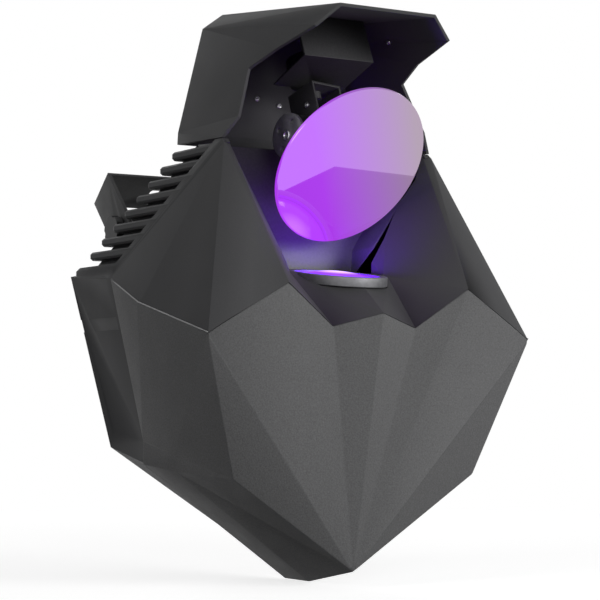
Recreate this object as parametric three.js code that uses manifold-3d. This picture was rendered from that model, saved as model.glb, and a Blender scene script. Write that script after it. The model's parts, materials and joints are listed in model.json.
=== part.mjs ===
// A mirror scanner light: a faceted housing with a moving mirror under a hood, hung on a steel bracket.
// Units are millimetres, +Z is up. The origin is the middle of the bracket's mounting face.
// The housing is drawn in a frame of its own: +X to its right, +Y to its back, and its widest
// front corners at y = 0. A group then hangs that frame from the origin.

import * as THREE from 'three';
import { ConvexGeometry } from 'three/addons/geometries/ConvexGeometry.js';
import { mergeVertices } from 'three/addons/utils/BufferGeometryUtils.js';
import Module from 'manifold-3d';

const wasm = await Module();
wasm.setup();

// Clearances, walls and the smoothness of round shapes
const seat = 0.3; // between two pieces that touch
const runGap = 1; // between a piece that turns and what it passes
const overrun = 5; // how far a cut runs past what it cuts
const shellWall = 3; // moulded covers
const sheet = 1.5; // folded steel
const roundSteps = 36;
const smallSteps = 12;
const arcSteps = 4;

// Front cover: a fan of facets that all start at the bottom tip
const cornerX = 146; // the widest corners, at y = 0
const cornerZ = -25.7;
const tipY = 31.7;
const tipZ = -204.5;
const apexY = -10.3;
const apexZ = -8.6;
const valleyX = 37.4;
const valleyY = 1.6;
const valleyZ = -18.8;
const shoulderX = 81.3;
const shoulderY = -7;
const shoulderZ = 12;
const cheekX = 109.4;
const cheekY = 26;
const cheekZ = -131.8;

// Front cover: the crease behind the facets, and the seam with the rear shell
const creaseY = 108.5;
const creaseTopZ = 0.7;
const creaseLowX = 113.6;
const creaseLowZ = -116;
const creaseUnderX = 111.8;
const creaseUnderZ = -128.3;
const seamY = 158;
const seamTopX = 144.4;
const seamTopZ = 22;
const seamLowX = 115;
const seamLowZ = -105.5;
const seamUnderZ = -123.6;
const keelFrontY = 95;
const keelBackY = 130;
const keelZ = -216.5;
const coverProud = 1; // the front cover stands this far outside the shells above and behind it

// Upper shell: two peaks with a V between them, and a sloped chin below the lens
const peakInX = 90.5;
const peakInY = 66.5;
const peakInZ = 124.2;
const peakOutX = 96.5;
const peakOutY = 62.5;
const peakOutZ = 122.2;
const vRimUpX = 81.1;
const vRimUpZ = 103.6;
const vRimMidX = 66;
const vRimMidZ = 82.1;
const vRimLowX = 52.8;
const vRimLowZ = 56.5;
const vFootX = 40;
const vFootZ = 35;
const vHeelX = 43.6; // the V's lowest corner, beside the lens
const vHeelY = 52.5;
const vHeelZ = 24.2;
const sillX = 31;
const sillY = 30.5;
const sillZ = 14;
const sillMidY = 15.4;
const sillMidZ = 11.5;
const deckX = 44;
const deckBackY = 99;
const deckBackZ = 23.5;

// Rear shell: a slatted slope above, a tapered skirt below
const rearY = 232;
const rearTopX = 143;
const rearTopZ = 27;
const rearLowX = 104.3;
const rearLowZ = -96.6;
const rearUnderX = 106;
const rearUnderZ = -111.8;
const rearKeelZ = -181;
const slatCount = 8;
const slatLowZ = 39.7; // underside of the lowest slat
const slatPitch = 10.9;
const slatHeight = 6.5;
const slatReach = 83; // from the seam back to the tips of the slats
const slatDepth = 11; // from a slat's edge to the wall behind it
const slatRound = 6;
const slatBevel = 1.6;
const stripWidth = 14; // smooth band between the seam and the slots
const ledgeTopZ = 34; // the skirt's upper face, below the lowest slat
const ledgeBevel = 3;
const grooveZ = -18; // shadow groove round the skirt
const grooveHeight = 10;
const grooveDepth = 1.2;

// Hood
const hoodWall = 2.5;
const visorX = 43.3;
const visorY = -17.8;
const visorZ = 220.5;
const browX = 62;
const browY = -10.8;
const browZ = 203.4;
const lidX = 66.5;
const lidY = 37;
const lidZ = 192;
const notchX = 72.8;
const notchY = 67;
const notchZ = 181;
const hipX = 86.9;
const hipY = 58;
const hipZ = 141.9;
const footX = 97;
const footY = 66;
const footZ = 126;
const hoodRearX = 91.5;
const hoodRearY = 145;
const hoodRearZ = 138.6;
const eaveX = 61;
const eaveY = 160;
const eaveZ = 227.5;
const crownX = 42.4;
const crownZ = 241;
const heelX = 91.5;
const heelY = 146;
const heelZ = 129.5;

// Light path: its axis leans forward from the middle of the lens
const beamLeanDeg = 8;
const beamY = 55;
const beamZ = 17; // where the axis meets the deck
const lensRingR = 39.6;
const lensRingBore = 33;
const lensRingHigh = 8;
const barrelR = 33;
const barrelBore = 30.5;
const barrelLong = 50;
const lensR = 32.4;
const lensEdge = 3;
const lensCrown = 5;
const lensLedge = 2; // lens edge above the deck

// Optics frame, in the leaning frame of the light path
const opticsX = 80;
const opticsFrontY = -32;
const upperShelfZ = -34;
const lowerShelfZ = -90;
const frameLowZ = -126;
const wheelAxisX = 30;
const wheelAxisY = 20;
const wheelR = 47;
const wheelThick = 1.5;
const wheelHubR = 6;
const wheelHubLong = 4;
const wheelHoles = 8;
const wheelHoleR = 9.5;
const goboLift = 14; // wheels above the lower shelf
const colourLift = 7;
const lightHoleR = 16;
const condenserR = 14;
const condenserLong = 12;
const ledHalf = 22;
const ledThick = 2;
const ledDomeR = 9;
const sinkX = 40;
const sinkY = 34;
const sinkBase = 5;
const finCount = 9;
const finThick = 1.8;
const finLong = 24;

// Round stepper motors
const motorR = 17.75;
const motorLong = 20;
const motorEarSpan = 42;
const motorEarR = 4;
const motorEarThick = 1;
const shaftR = 1.5;

// Cooling fans
const fanHalf = 30;
const fanDeep = 15;
const fanBoreR = 28;
const fanHubR = 12;
const fanBlades = 7;
const fanTipR = 26.5;
const fanBladeThick = 1.6;
const fanBladeDeep = 9;
const fanPitchDeg = 40;
const fanArms = 4;
const fanArmWide = 3;
const fanArmThick = 2;

// Mirror drive: the pan axis leans back, the tilt axis crosses it
const headY = 72;
const headZ = 129.5;
const panLeanDeg = 20;
const restPanDeg = 9;
const restTiltDeg = 54;
const mirrorR = 67.3;
const mirrorThick = 3;
const mirrorReach = 40; // tilt axis to the reflecting face
const padR = 24;
const padThick = 2;
const armHubR = 6;
const armHalf = 9;
const armRibHalf = 5;
const cheekInner = 13;
const yokeSheet = 2;
const yokeHalf = 15; // half depth of the cheeks
const yokeUp = 43; // tilt axis to the underside of the yoke's top
const yokeHubR = 5;
const yokeHubLong = 6;
const capThick = 3;
const capHoleR = 2.2;
const capHoleCircle = 11.5;
const capHoles = 4;
const bushR = 4;
const pinR = 2;

// Folded shelf under the hood that carries the pan motor
const foldY = 49.6;
const foldZ = 192.5;
const flapLong = 50;
const flapHalf = 32;
const leafTopY = 64;
const leafFlange = 14;

// Mirror well: black sheet lining behind the V
const wellSheet = 1.2;
const wellFootX = 42;
const wellLowX = 46;
const wellLowY = 102;
const wellLowZ = 48;
const wellMidX = 72;
const wellMidY = 105;
const wellMidZ = 85;
const wellTopX = 88;
const wellTopY = 116;
const wellTopZ = 127;
const wellFrontY = 72;

// Frame plate between the front cover and the rear shell
const framePlateY = 161;
const framePlate = 2;
const frameWindowX = 80;
const frameWindowTop = 10;
const frameWindowLow = -70;

// Rear box and panel
const boxHalf = 94;
const boxTopZ = 80;
const boxBackY = 250;
const boxSideZ = -95;
const boxLowX = 30;
const boxLowZ = -142;
const panelThick = 2;
const panelInset = 3; // panel behind the box's rear edge
const displayX = 29;
const displayZ = 58;
const displayHalf = 10;
const displayThick = 3;
const buttonCount = 4;
const buttonPitch = 17;
const buttonZ = 37;
const buttonR = 4.5;
const buttonTravel = 1;
const buttonProud = 3.5;
const boardHalf = 50;
const boardTopZ = 74;
const boardLowZ = 22;
const boardThick = 1.6;
const boardPostR = 3;
const boardPost = 9; // panel to board
const fanZ = -12;
const fanSlotLong = 22;
const fanSlotPitch = 7;
const fanSlotHalf = 2;
const socketZ = -66;
const dataX = 20;
const dataHalfX = 13;
const dataHalfZ = 15.5;
const dataR = 11;
const dataBoreR = 9;
const dataPinR = 1;
const powerInset = 34; // from the box side to the middle of a mains socket
const powerHalfX = 15;
const powerHalfZ = 11.5;
const socketDeep = 22;
const socketFlange = 2;
const socketWall = 1.5;
const socketFloor = 6;
const contacts = 3;
const fuseZ = -104;
const fuseR = 6;
const fuseCapR = 8;
const fuseDeep = 22;
const fuseCap = 7;
const supplyX = 50;
const supplyY = 34;
const supplyHighZ = -84;
const supplyLowZ = -118;
const eyeZ = -127;
const eyeR = 8;
const eyeWireR = 2;
const eyeBase = 4;

// Hanging bracket, drawn flat with its pivot at zero and its arms along +Y, then leaned back
const bracketLeanDeg = 47; // its arms above the level
const bracketReach = 52.5; // pivot to the mounting face
const bracketGap = 4; // from the box to the inner face of each arm
const pivotY = 227.1; // the pivot in the housing's frame
const pivotZ = 66.5;
const bracketSheet = 3;
const bracketWide = 35;
const bracketHoleR = 5.5;
const bracketSlotX = 45;
const bracketSlotR = 4;
const bracketSlotLong = 14;
const studR = 4;
const washerR = 12;
const washerThick = 1;
const knobR = 12;
const knobLong = 6;
const knobBossR = 8;
const knobBoss = 2;
const knobLobes = 6;
const knobScallopR = 3;

const bracketInner = boxHalf + bracketGap;
const powerX = boxHalf - powerInset;

const deg = (angle) => THREE.MathUtils.degToRad(angle);
const V = (x, y, z) => new THREE.Vector3(x, y, z);
const across = (p) => V(-p.x, p.y, p.z);
const both = (points) => points.flatMap((p) => [p, across(p)]);
const shifted = (points, x, y, z) => points.map((p) => V(p.x + x, p.y + y, p.z + z));

// Turns a closed geometry into a solid that can be joined and cut.
function solid(geometry) {
  geometry.deleteAttribute('normal');
  geometry.deleteAttribute('uv');
  const merged = mergeVertices(geometry);
  const mesh = new wasm.Mesh({
    numProp: 3,
    vertProperties: new Float32Array(merged.attributes.position.array),
    triVerts: new Uint32Array(merged.index.array),
  });
  return new wasm.Manifold(mesh);
}

// Turns a solid back into a geometry for a mesh.
function geometryOf(body) {
  const mesh = body.getMesh();
  const geometry = new THREE.BufferGeometry();
  geometry.setAttribute('position', new THREE.BufferAttribute(mesh.vertProperties, 3));
  geometry.setIndex(new THREE.BufferAttribute(mesh.triVerts, 1));
  geometry.computeVertexNormals();
  return geometry;
}

const unite = (parts) => parts.reduce((sum, part) => sum.add(part));

// The main body of a cut piece, without the crumbs that a cut can leave.
function mainBody(body) {
  return body.decompose().reduce((most, part) => (part.volume() > most.volume() ? part : most));
}

const hull = (points) => solid(new ConvexGeometry(points));
const placed = (body, matrix) => solid(geometryOf(body).applyMatrix4(matrix));

function box(x0, x1, y0, y1, z0, z1) {
  const geometry = new THREE.BoxGeometry(x1 - x0, y1 - y0, z1 - z0);
  return solid(geometry.translate((x0 + x1) / 2, (y0 + y1) / 2, (z0 + z1) / 2));
}

// A round bar along one axis, from one end to the other, its centre at a and b on the other two.
function bar(axis, from, to, radius, a = 0, b = 0, steps = smallSteps) {
  const geometry = new THREE.CylinderGeometry(radius, radius, to - from, steps);
  const middle = (from + to) / 2;
  if (axis === 'x') geometry.rotateZ(-Math.PI / 2).translate(middle, a, b);
  if (axis === 'y') geometry.translate(a, middle, b);
  if (axis === 'z') geometry.rotateX(Math.PI / 2).translate(a, b, middle);
  return solid(geometry);
}

// Flat outlines lie level, or stand up facing the back or the side.
const level = new THREE.Matrix4();
const facingBack = new THREE.Matrix4().makeBasis(V(-1, 0, 0), V(0, 0, 1), V(0, 1, 0));
const facingSide = new THREE.Matrix4().makeBasis(V(0, 1, 0), V(0, 0, 1), V(1, 0, 0));

// A plate with a flat outline of [a, b] points, between two distances along its own normal.
function plate(outline, frame, from, to) {
  const side = frame === facingBack ? -1 : 1;
  const shape = new THREE.Shape(outline.map(([a, b]) => new THREE.Vector2(side * a, b)));
  const geometry = new THREE.ExtrudeGeometry(shape, { depth: to - from, bevelEnabled: false });
  return solid(geometry.translate(0, 0, from).applyMatrix4(frame));
}

// A turned piece on the Z axis, from a closed profile of [radius, height].
function turned(profile, steps = roundSteps) {
  const points = [...profile, profile[0]].map(([r, z]) => new THREE.Vector2(r, z));
  return solid(new THREE.LatheGeometry(points, steps).rotateX(Math.PI / 2));
}

// Materials, one of each
const finishes = {};
function finish(name, color, roughness, metalness) {
  finishes[name] = finishes[name] ?? new THREE.MeshStandardMaterial({ name, color, roughness, metalness });
  return finishes[name];
}
const texturedPlastic = finish('textured_plastic', 0x5a5a5c, 0.75, 0);
const smoothPlastic = finish('smooth_plastic', 0x3c3c3e, 0.55, 0);
const blackSteel = finish('black_steel', 0x202022, 0.5, 0.3);
const zincSteel = finish('zinc_steel', 0xb4b4b8, 0.35, 1);
const aluminium = finish('aluminium', 0xa0a2a6, 0.4, 1);
const blackPlastic = finish('black_plastic', 0x161617, 0.5, 0);
const mirrorGlass = finish('mirror_glass', 0xc8c0d8, 0.03, 1);
const lensGlass = finish('lens_glass', 0xd8d0ff, 0.05, 0);
const boardGreen = finish('circuit_board', 0x1e5a34, 0.6, 0);

const object = new THREE.Group();
const housing = new THREE.Group();
const beam = new THREE.Group();
const lean = new THREE.Group();
const panHead = new THREE.Group();
const tiltHead = new THREE.Group();
const hanger = new THREE.Group();

function piece(name, body, material, group) {
  const mesh = new THREE.Mesh(geometryOf(body), material);
  mesh.name = name;
  group.add(mesh);
  return mesh;
}

// Faceted walls. A facet is a list of corner names; a name with a minus sign is the mirrored corner.
// A facet without such a name is made on both sides of the housing.
function facetSides(corners, names, core) {
  const crossing = names.some((name) => name.startsWith('-'));
  return (crossing ? [1] : [1, -1]).map((side) => {
    const points = names.map((name) => {
      const mirrored = name.startsWith('-');
      const p = corners[mirrored ? name.slice(1) : name];
      return (side < 0) !== mirrored ? across(p) : p.clone();
    });
    const inside = V(crossing ? 0 : side * core.x, core.y, core.z);
    return { points, normal: outwardNormal(points, inside) };
  });
}

function outwardNormal(points, inside) {
  const normal = V(0, 0, 0);
  const middle = V(0, 0, 0);
  points.forEach((p, i) => {
    normal.add(p.clone().cross(points[(i + 1) % points.length]));
    middle.addScaledVector(p, 1 / points.length);
  });
  normal.normalize();
  return normal.dot(middle.sub(inside)) < 0 ? normal.negate() : normal;
}

// The shortest step from a corner that lands one unit outside each facet that meets there.
const cornerSoftness = 0.002; // keeps the step finite where the facets are nearly parallel
function cornerStep(normals) {
  const rows = [0, 1, 2].map((i) => [0, 1, 2].map((j) => (i === j ? cornerSoftness : 0)));
  const sum = V(0, 0, 0);
  for (const normal of normals) {
    const parts = normal.toArray();
    parts.forEach((a, i) => parts.forEach((b, j) => { rows[i][j] += a * b; }));
    sum.add(normal);
  }
  return sum.applyMatrix3(new THREE.Matrix3().set(...rows.flat()).invert());
}

// A wall behind a set of facets, from a rise above them to a depth below them.
function facetWall(corners, facets, core, depth, rise = 0) {
  const sides = facets.flatMap((names) => facetSides(corners, names, core));
  const keyOf = (p) => p.toArray().map((value) => (value + 0).toFixed(3)).join();
  const normals = new Map();
  for (const { points, normal } of sides) {
    for (const p of points) normals.set(keyOf(p), [...(normals.get(keyOf(p)) ?? []), normal]);
  }
  return unite(sides.map(({ points }) => hull(points.flatMap((p) => {
    const step = cornerStep(normals.get(keyOf(p)));
    return [p.clone().addScaledVector(step, rise), p.clone().addScaledVector(step, -depth)];
  }))));
}

// Front cover
const coverCorners = {
  tip: V(0, tipY, tipZ),
  apex: V(0, apexY, apexZ),
  valley: V(valleyX, valleyY, valleyZ),
  shoulder: V(shoulderX, shoulderY, shoulderZ),
  corner: V(cornerX, 0, cornerZ),
  cheek: V(cheekX, cheekY, cheekZ),
  creaseTop: V(cornerX, creaseY, creaseTopZ),
  creaseLow: V(creaseLowX, creaseY, creaseLowZ),
  creaseUnder: V(creaseUnderX, creaseY, creaseUnderZ),
  creaseKeel: V(0, keelFrontY, keelZ),
  seamTop: V(seamTopX, seamY, seamTopZ),
  seamLow: V(seamLowX, seamY, seamLowZ),
  seamUnder: V(seamLowX, seamY, seamUnderZ),
  seamKeel: V(0, keelBackY, keelZ),
};
const coverFacets = [
  ['tip', 'apex', 'valley'],
  ['tip', 'valley', 'shoulder'],
  ['tip', 'shoulder', 'corner'],
  ['tip', 'corner', 'cheek'],
  ['corner', 'creaseTop', 'creaseLow'],
  ['corner', 'creaseLow', 'cheek'],
  ['creaseTop', 'seamTop', 'seamLow', 'creaseLow'],
  ['cheek', 'creaseLow', 'creaseUnder'],
  ['creaseLow', 'seamLow', 'seamUnder', 'creaseUnder'],
  ['tip', 'cheek', 'creaseUnder'],
  ['tip', 'creaseUnder', 'creaseKeel'],
  ['creaseUnder', 'seamUnder', 'creaseKeel'],
  ['seamUnder', 'seamKeel', 'creaseKeel'],
];
const coverCore = V(cheekX / 2, creaseY, -cheekX / 2);
const frontCover = () => facetWall(coverCorners, coverFacets, coverCore, shellWall);
const frontCoverRoom = () => facetWall(coverCorners, coverFacets, coverCore, shellWall + seat, seat);

// Upper shell: its lower corners stand on the front cover's rim, a little inside its sides.
const onRim = (p) => V(p.x - (p.x > shoulderX ? coverProud : 0), p.y, p.z + seat);
const vPlane = new THREE.Plane().setFromCoplanarPoints(
  V(peakInX, peakInY, peakInZ), onRim(coverCorners.shoulder), V(vHeelX, vHeelY, vHeelZ),
);
const onV = (x, z) => {
  const across = vPlane.constant + vPlane.normal.x * x + vPlane.normal.z * z;
  return V(x, -across / vPlane.normal.y, z);
};
const upperCorners = {
  apex: onRim(coverCorners.apex),
  valley: onRim(coverCorners.valley),
  shoulder: onRim(coverCorners.shoulder),
  corner: onRim(coverCorners.corner),
  creaseTop: onRim(coverCorners.creaseTop),
  seamTop: onRim(coverCorners.seamTop),
  peakIn: V(peakInX, peakInY, peakInZ),
  peakOut: V(peakOutX, peakOutY, peakOutZ),
  rimUp: onV(vRimUpX, vRimUpZ),
  rimMid: onV(vRimMidX, vRimMidZ),
  rimLow: onV(vRimLowX, vRimLowZ),
  foot: onV(vFootX, vFootZ),
  heel: V(vHeelX, vHeelY, vHeelZ),
  sideLow: V(vHeelX, vHeelY, beamZ - shellWall),
  sideBack: V(vFootX, onV(vFootX, vFootZ).y, beamZ - shellWall),
  sill: V(sillX, sillY, sillZ),
  sillMid: V(0, sillMidY, sillMidZ),
};
const upperFacets = [
  ['peakOut', 'shoulder', 'corner'],
  ['peakOut', 'peakIn', 'shoulder'],
  ['peakOut', 'corner', 'creaseTop'],
  ['peakOut', 'creaseTop', 'seamTop'],
  ['peakIn', 'shoulder', 'rimUp'],
  ['rimUp', 'shoulder', 'rimMid'],
  ['rimMid', 'shoulder', 'rimLow'],
  ['rimLow', 'shoulder', 'foot'],
  ['foot', 'shoulder', 'heel'],
  ['heel', 'shoulder', 'valley'],
  ['heel', 'valley', 'sill'],
  ['heel', 'sill', 'sideLow'],
  ['foot', 'heel', 'sideLow', 'sideBack'],
  ['sill', 'valley', 'apex'],
  ['sill', 'apex', 'sillMid'],
];
const wingCore = V(cheekX, shoulderX, 0);
const upperShellRoom = () => facetWall(upperCorners, upperFacets, wingCore, shellWall + seat, seat);
const beamMatrix = new THREE.Matrix4().makeRotationX(deg(beamLeanDeg)).setPosition(0, beamY, beamZ);

// The deck under the lens, from the top of the chin to the foot of the mirror well.
function deck() {
  const { sillMid, sill } = upperCorners;
  const faces = [sillMid, sill, V(deckX, beamY, beamZ), V(deckX, deckBackY, deckBackZ)];
  return hull(both([...faces, ...shifted(faces, 0, 0, -shellWall)]));
}

function upperShell() {
  const body = facetWall(upperCorners, upperFacets, wingCore, shellWall).add(deck());
  const ringRoom = bar('z', -seat, lensRingHigh + seat, lensRingR + seat, 0, 0, roundSteps);
  const barrelRoom = bar('z', -sillZ * 2, sillZ, barrelR + seat, 0, 0, roundSteps);
  const round = placed(ringRoom.add(barrelRoom), beamMatrix);
  return mainBody(body.subtract(frontCoverRoom()).subtract(round));
}

// Rear shell. Its slope lies behind the seam plane, by the reach of the slats.
const seamEdge = new THREE.Line3(V(peakOutX, peakOutY, peakOutZ), V(seamTopX - coverProud, seamY, seamTopZ));
const seamAt = (z) => seamEdge.at((z - peakOutZ) / (seamTopZ - peakOutZ), V(0, 0, 0));
const seamRun = (seamY - peakOutY) / (peakOutZ - seamTopZ); // back per unit down the seam
const hoodRise = (heelZ - footZ) / (heelY - footY); // up per unit back along the hood's foot
const backRun = peakOutY + slatReach - footY + peakOutZ * seamRun;
const slopeTopZ = (footZ - 2 * seat + backRun * hoodRise) / (1 + seamRun * hoodRise);

// The slope from the seam to the tips of the slats, its sides drawn in by an inset, its top by a drop.
function slopeBody(inset, front, reach, low, drop) {
  const corners = [];
  for (const z of [peakOutZ, low]) {
    const edge = seamAt(z);
    const top = z === low ? 0 : drop;
    corners.push(V(edge.x - inset, edge.y + front, z - top));
    corners.push(V(edge.x - inset, edge.y + reach, z - top));
  }
  const tip = seamAt(slopeTopZ);
  const tipHighZ = slopeTopZ - (slatReach - reach) * hoodRise - drop;
  corners.push(V(tip.x - inset, tip.y + reach, tipHighZ));
  corners.push(V(footX - coverProud - inset, footY + front, footZ - 2 * seat + front * hoodRise - drop));
  return hull(both(corners));
}

// A slat in plan has straight sides and round rear corners; its edges are bevelled all round.
function slat(low, high, bevel, backY) {
  const edge = seamAt((low + high) / 2);
  const halfX = edge.x - bevel;
  const back = Math.min(edge.y + slatReach, backY) - bevel;
  const shape = new THREE.Shape();
  shape.moveTo(-halfX, edge.y + stripWidth / 2);
  shape.lineTo(halfX, edge.y + stripWidth / 2);
  shape.absarc(halfX - slatRound, back - slatRound, slatRound, 0, Math.PI / 2);
  shape.absarc(-halfX + slatRound, back - slatRound, slatRound, Math.PI / 2, Math.PI);
  const geometry = new THREE.ExtrudeGeometry(shape, {
    depth: high - low - 2 * bevel,
    bevelSize: bevel,
    bevelThickness: bevel,
    bevelSegments: 1,
    curveSegments: arcSteps,
  });
  return solid(geometry.translate(0, 0, low + bevel));
}

const skirtCorners = {
  seamTop: V(seamTopX - coverProud, seamY + seat, seamTopZ),
  seamLow: V(seamLowX - coverProud, seamY + seat, seamLowZ),
  seamUnder: V(seamLowX - coverProud, seamY + seat, seamUnderZ + coverProud),
  seamKeel: V(0, keelBackY + seat, keelZ + coverProud),
  rearTop: V(rearTopX, rearY, rearTopZ),
  rearLow: V(rearLowX, rearY, rearLowZ),
  rearUnder: V(rearUnderX, rearY, rearUnderZ),
  rearKeel: V(0, rearY, rearKeelZ),
};
const skirtSides = [
  ['seamTop', 'rearTop', 'rearLow', 'seamLow'],
  ['seamLow', 'rearLow', 'rearUnder', 'seamUnder'],
  ['seamUnder', 'rearUnder', 'rearKeel'],
  ['seamUnder', 'rearKeel', 'seamKeel'],
];
const skirtBack = [['rearTop', 'rearLow', 'rearUnder', 'rearKeel', '-rearUnder', '-rearLow', '-rearTop']];
const skirtCore = V(0, rearY - slatReach, 0);

// The space inside the skirt, drawn in from its faces and run out at both ends.
function skirtRoom(inset, front, back) {
  const points = Object.values(skirtCorners).map((p) => {
    const end = p.y < rearY ? front : back;
    return V(Math.max(p.x - inset, 0), p.y + end, p.z + (p.z < rearLowZ ? inset : 0));
  });
  return hull(both(points));
}

function groove() {
  const band = box(-cornerX, cornerX, seamY + overrun, rearY + overrun, grooveZ, grooveZ + grooveHeight);
  return band.subtract(skirtRoom(grooveDepth, -overrun, overrun));
}

// The space behind the mirror is open from the V to the hood.
function wellRoom() {
  const halfX = peakInX + seat;
  return box(-halfX, halfX, 0, wellTopY + 2 * wellSheet, ledgeTopZ, eaveZ);
}

const ledgeLowZ = rearTopZ - 3 * ledgeBevel;
const boxOutline = [
  [boxHalf, boxTopZ], [boxHalf, boxSideZ], [boxLowX, boxLowZ],
  [-boxLowX, boxLowZ], [-boxHalf, boxSideZ], [-boxHalf, boxTopZ],
];
function grownOutline(outline, by) {
  return outline.map(([x, z]) => [x + Math.sign(x) * by, z + Math.sign(z) * by]);
}

function rearShell() {
  const strip = slopeBody(0, seat, slatReach, seamTopZ, 0);
  const behindStrip = slopeBody(-overrun, stripWidth, slatReach + overrun, seamTopZ - overrun, -overrun);
  const core = slopeBody(slatDepth, stripWidth / 2, slatReach - slatDepth, seamTopZ, 0);
  const slats = Array.from({ length: slatCount }, (_, i) => slatLowZ + i * slatPitch)
    .map((z) => slat(z, z + slatHeight, slatBevel, rearY));
  const ledge = slat(ledgeLowZ, ledgeTopZ, ledgeBevel, rearY);
  const skirt = facetWall(skirtCorners, [...skirtSides, ...skirtBack], skirtCore, shellWall);
  const inner = slatDepth + shellWall;
  const room = slopeBody(inner, -seamY, slatReach - inner, seamTopZ - overrun, inner);
  const outer = unite([strip.subtract(behindStrip), core, ledge, skirt, ...slats]);
  const hollow = room.add(skirtRoom(2 * shellWall, -overrun, -shellWall));
  const rearWay = plate(grownOutline(boxOutline, seat), facingBack, framePlateY, rearY + overrun);
  const cut = outer.subtract(hollow).subtract(rearWay).subtract(groove()).subtract(wellRoom());
  return mainBody(cut.subtract(upperShellRoom()).subtract(frontCoverRoom()));
}

// Hood
const hoodCorners = {
  visor: V(visorX, visorY, visorZ),
  brow: V(browX, browY, browZ),
  lid: V(lidX, lidY, lidZ),
  notch: V(notchX, notchY, notchZ),
  hip: V(hipX, hipY, hipZ),
  foot: V(footX, footY, footZ),
  rear: V(hoodRearX, hoodRearY, hoodRearZ),
  eave: V(eaveX, eaveY, eaveZ),
  crown: V(crownX, eaveY, crownZ),
  heel: V(heelX, heelY, heelZ),
};
const hoodFacets = [
  ['visor', 'crown', '-crown', '-visor'],
  ['visor', 'brow', 'eave', 'crown'],
  ['brow', 'lid', 'eave'],
  ['lid', 'notch', 'eave'],
  ['notch', 'rear', 'eave'],
  ['notch', 'hip', 'rear'],
  ['hip', 'foot', 'heel', 'rear'],
  ['crown', 'eave', '-eave', '-crown'],
  ['eave', 'rear', '-rear', '-eave'],
  ['rear', 'heel', '-heel', '-rear'],
];
const hoodCore = V(0, (heelY + notchY) / 2, notchZ);
const hood = () => mainBody(facetWall(hoodCorners, hoodFacets, hoodCore, hoodWall)
  .subtract(shellTopRoom()).subtract(upperShellRoom()));

// The hood's foot stands on the shells: nothing of it reaches into them.
function shellTopRoom() {
  const rim = [V(footX, footY - overrun, footZ), V(footX, footY, footZ), V(heelX, heelY, heelZ)];
  const wide = rim.flatMap((p) => [V(cornerX, p.y, p.z - seat), V(-cornerX, p.y, p.z - seat)]);
  return hull([...wide, ...shifted(wide, 0, 0, -cornerX)]);
}

// Mirror well: a folded lining from the back of the V to the floor of the hood
const wellCorners = {
  foot: V(wellFootX, deckBackY, deckBackZ + seat),
  low: V(wellLowX, wellLowY, wellLowZ),
  mid: V(wellMidX, wellMidY, wellMidZ),
  top: V(wellTopX, wellTopY, wellTopZ),
  frontLow: V(wellLowX, wellFrontY, wellLowZ),
  frontMid: V(wellMidX, wellFrontY, wellMidZ),
  frontTop: V(wellTopX, wellFrontY, peakInZ),
};
const wellFacets = [
  ['foot', 'low', '-low', '-foot'],
  ['low', 'mid', '-mid', '-low'],
  ['mid', 'top', '-top', '-mid'],
  ['foot', 'frontLow', 'low'],
  ['frontLow', 'frontMid', 'mid', 'low'],
  ['frontMid', 'frontTop', 'top', 'mid'],
];
const wellCore = V(wellTopX, wellTopY * 2, -wellTopZ);
const wellTray = () => mainBody(facetWall(wellCorners, wellFacets, wellCore, wellSheet)
  .subtract(upperShellRoom()));

// Lens, its ring and its barrel, on the leaning axis
function lensRing() {
  return turned([
    [barrelR + 2 * seat, seat], [lensRingR, seat], [lensRingR, lensRingHigh - coverProud],
    [lensRingR - coverProud, lensRingHigh], [lensRingBore + coverProud, lensRingHigh],
    [barrelR + 2 * seat, lensRingHigh - 2 * coverProud],
  ]);
}

function lensBarrel() {
  return turned([
    [barrelBore, -barrelLong], [barrelR, -barrelLong], [barrelR, lensLedge + lensEdge],
    [lensR + seat, lensLedge + lensEdge], [lensR + seat, lensLedge - seat], [barrelBore, lensLedge - seat],
  ]);
}

// A lens with a flat back and a domed front, on the Z axis.
function domedLens(radius, edge, crown, z) {
  const profile = [new THREE.Vector2(0, z), new THREE.Vector2(radius, z)];
  const sphere = (radius * radius + crown * crown) / (2 * crown);
  const reach = Math.asin(radius / sphere);
  for (let i = 0; i <= arcSteps; i += 1) {
    const angle = reach * (1 - i / arcSteps);
    const high = z + edge + sphere * (Math.cos(angle) - Math.cos(reach));
    profile.push(new THREE.Vector2(i === arcSteps ? 0 : sphere * Math.sin(angle), high));
  }
  return solid(new THREE.LatheGeometry(profile, roundSteps).rotateX(Math.PI / 2));
}

// Optics frame: two shelves between two cheeks that run back to the frame plate
const wheelSides = { gobo: 1, colour: -1 };
function opticsFrame() {
  const back = (framePlateY - beamY) / Math.cos(deg(beamLeanDeg)) + opticsX;
  const cheeks = [-1, 1].map((side) => box(
    side < 0 ? -opticsX : opticsX - sheet, side < 0 ? -opticsX + sheet : opticsX,
    opticsFrontY, back, frameLowZ, upperShelfZ,
  ));
  const shelf = (z) => box(-opticsX, opticsX, opticsFrontY, back, z - sheet, z);
  const aboveZ = upperShelfZ + overrun;
  const barrelHole = bar('z', upperShelfZ - overrun, aboveZ, barrelR + seat, 0, 0, roundSteps);
  const lightHole = bar('z', lowerShelfZ - overrun, lowerShelfZ + overrun, lightHoleR, 0, 0);
  const shaftHoles = Object.values(wheelSides).map((side) => bar(
    'z', lowerShelfZ - overrun, lowerShelfZ + overrun, shaftR + runGap, side * wheelAxisX, wheelAxisY,
  ));
  const body = unite([...cheeks, shelf(upperShelfZ), shelf(lowerShelfZ)]);
  const holed = [barrelHole, lightHole, ...shaftHoles].reduce((rest, hole) => rest.subtract(hole), body);
  const behind = box(-cornerX, cornerX, framePlateY - seat, 2 * rearY, keelZ, -keelZ);
  return placed(holed, beamMatrix).subtract(behind);
}

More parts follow.
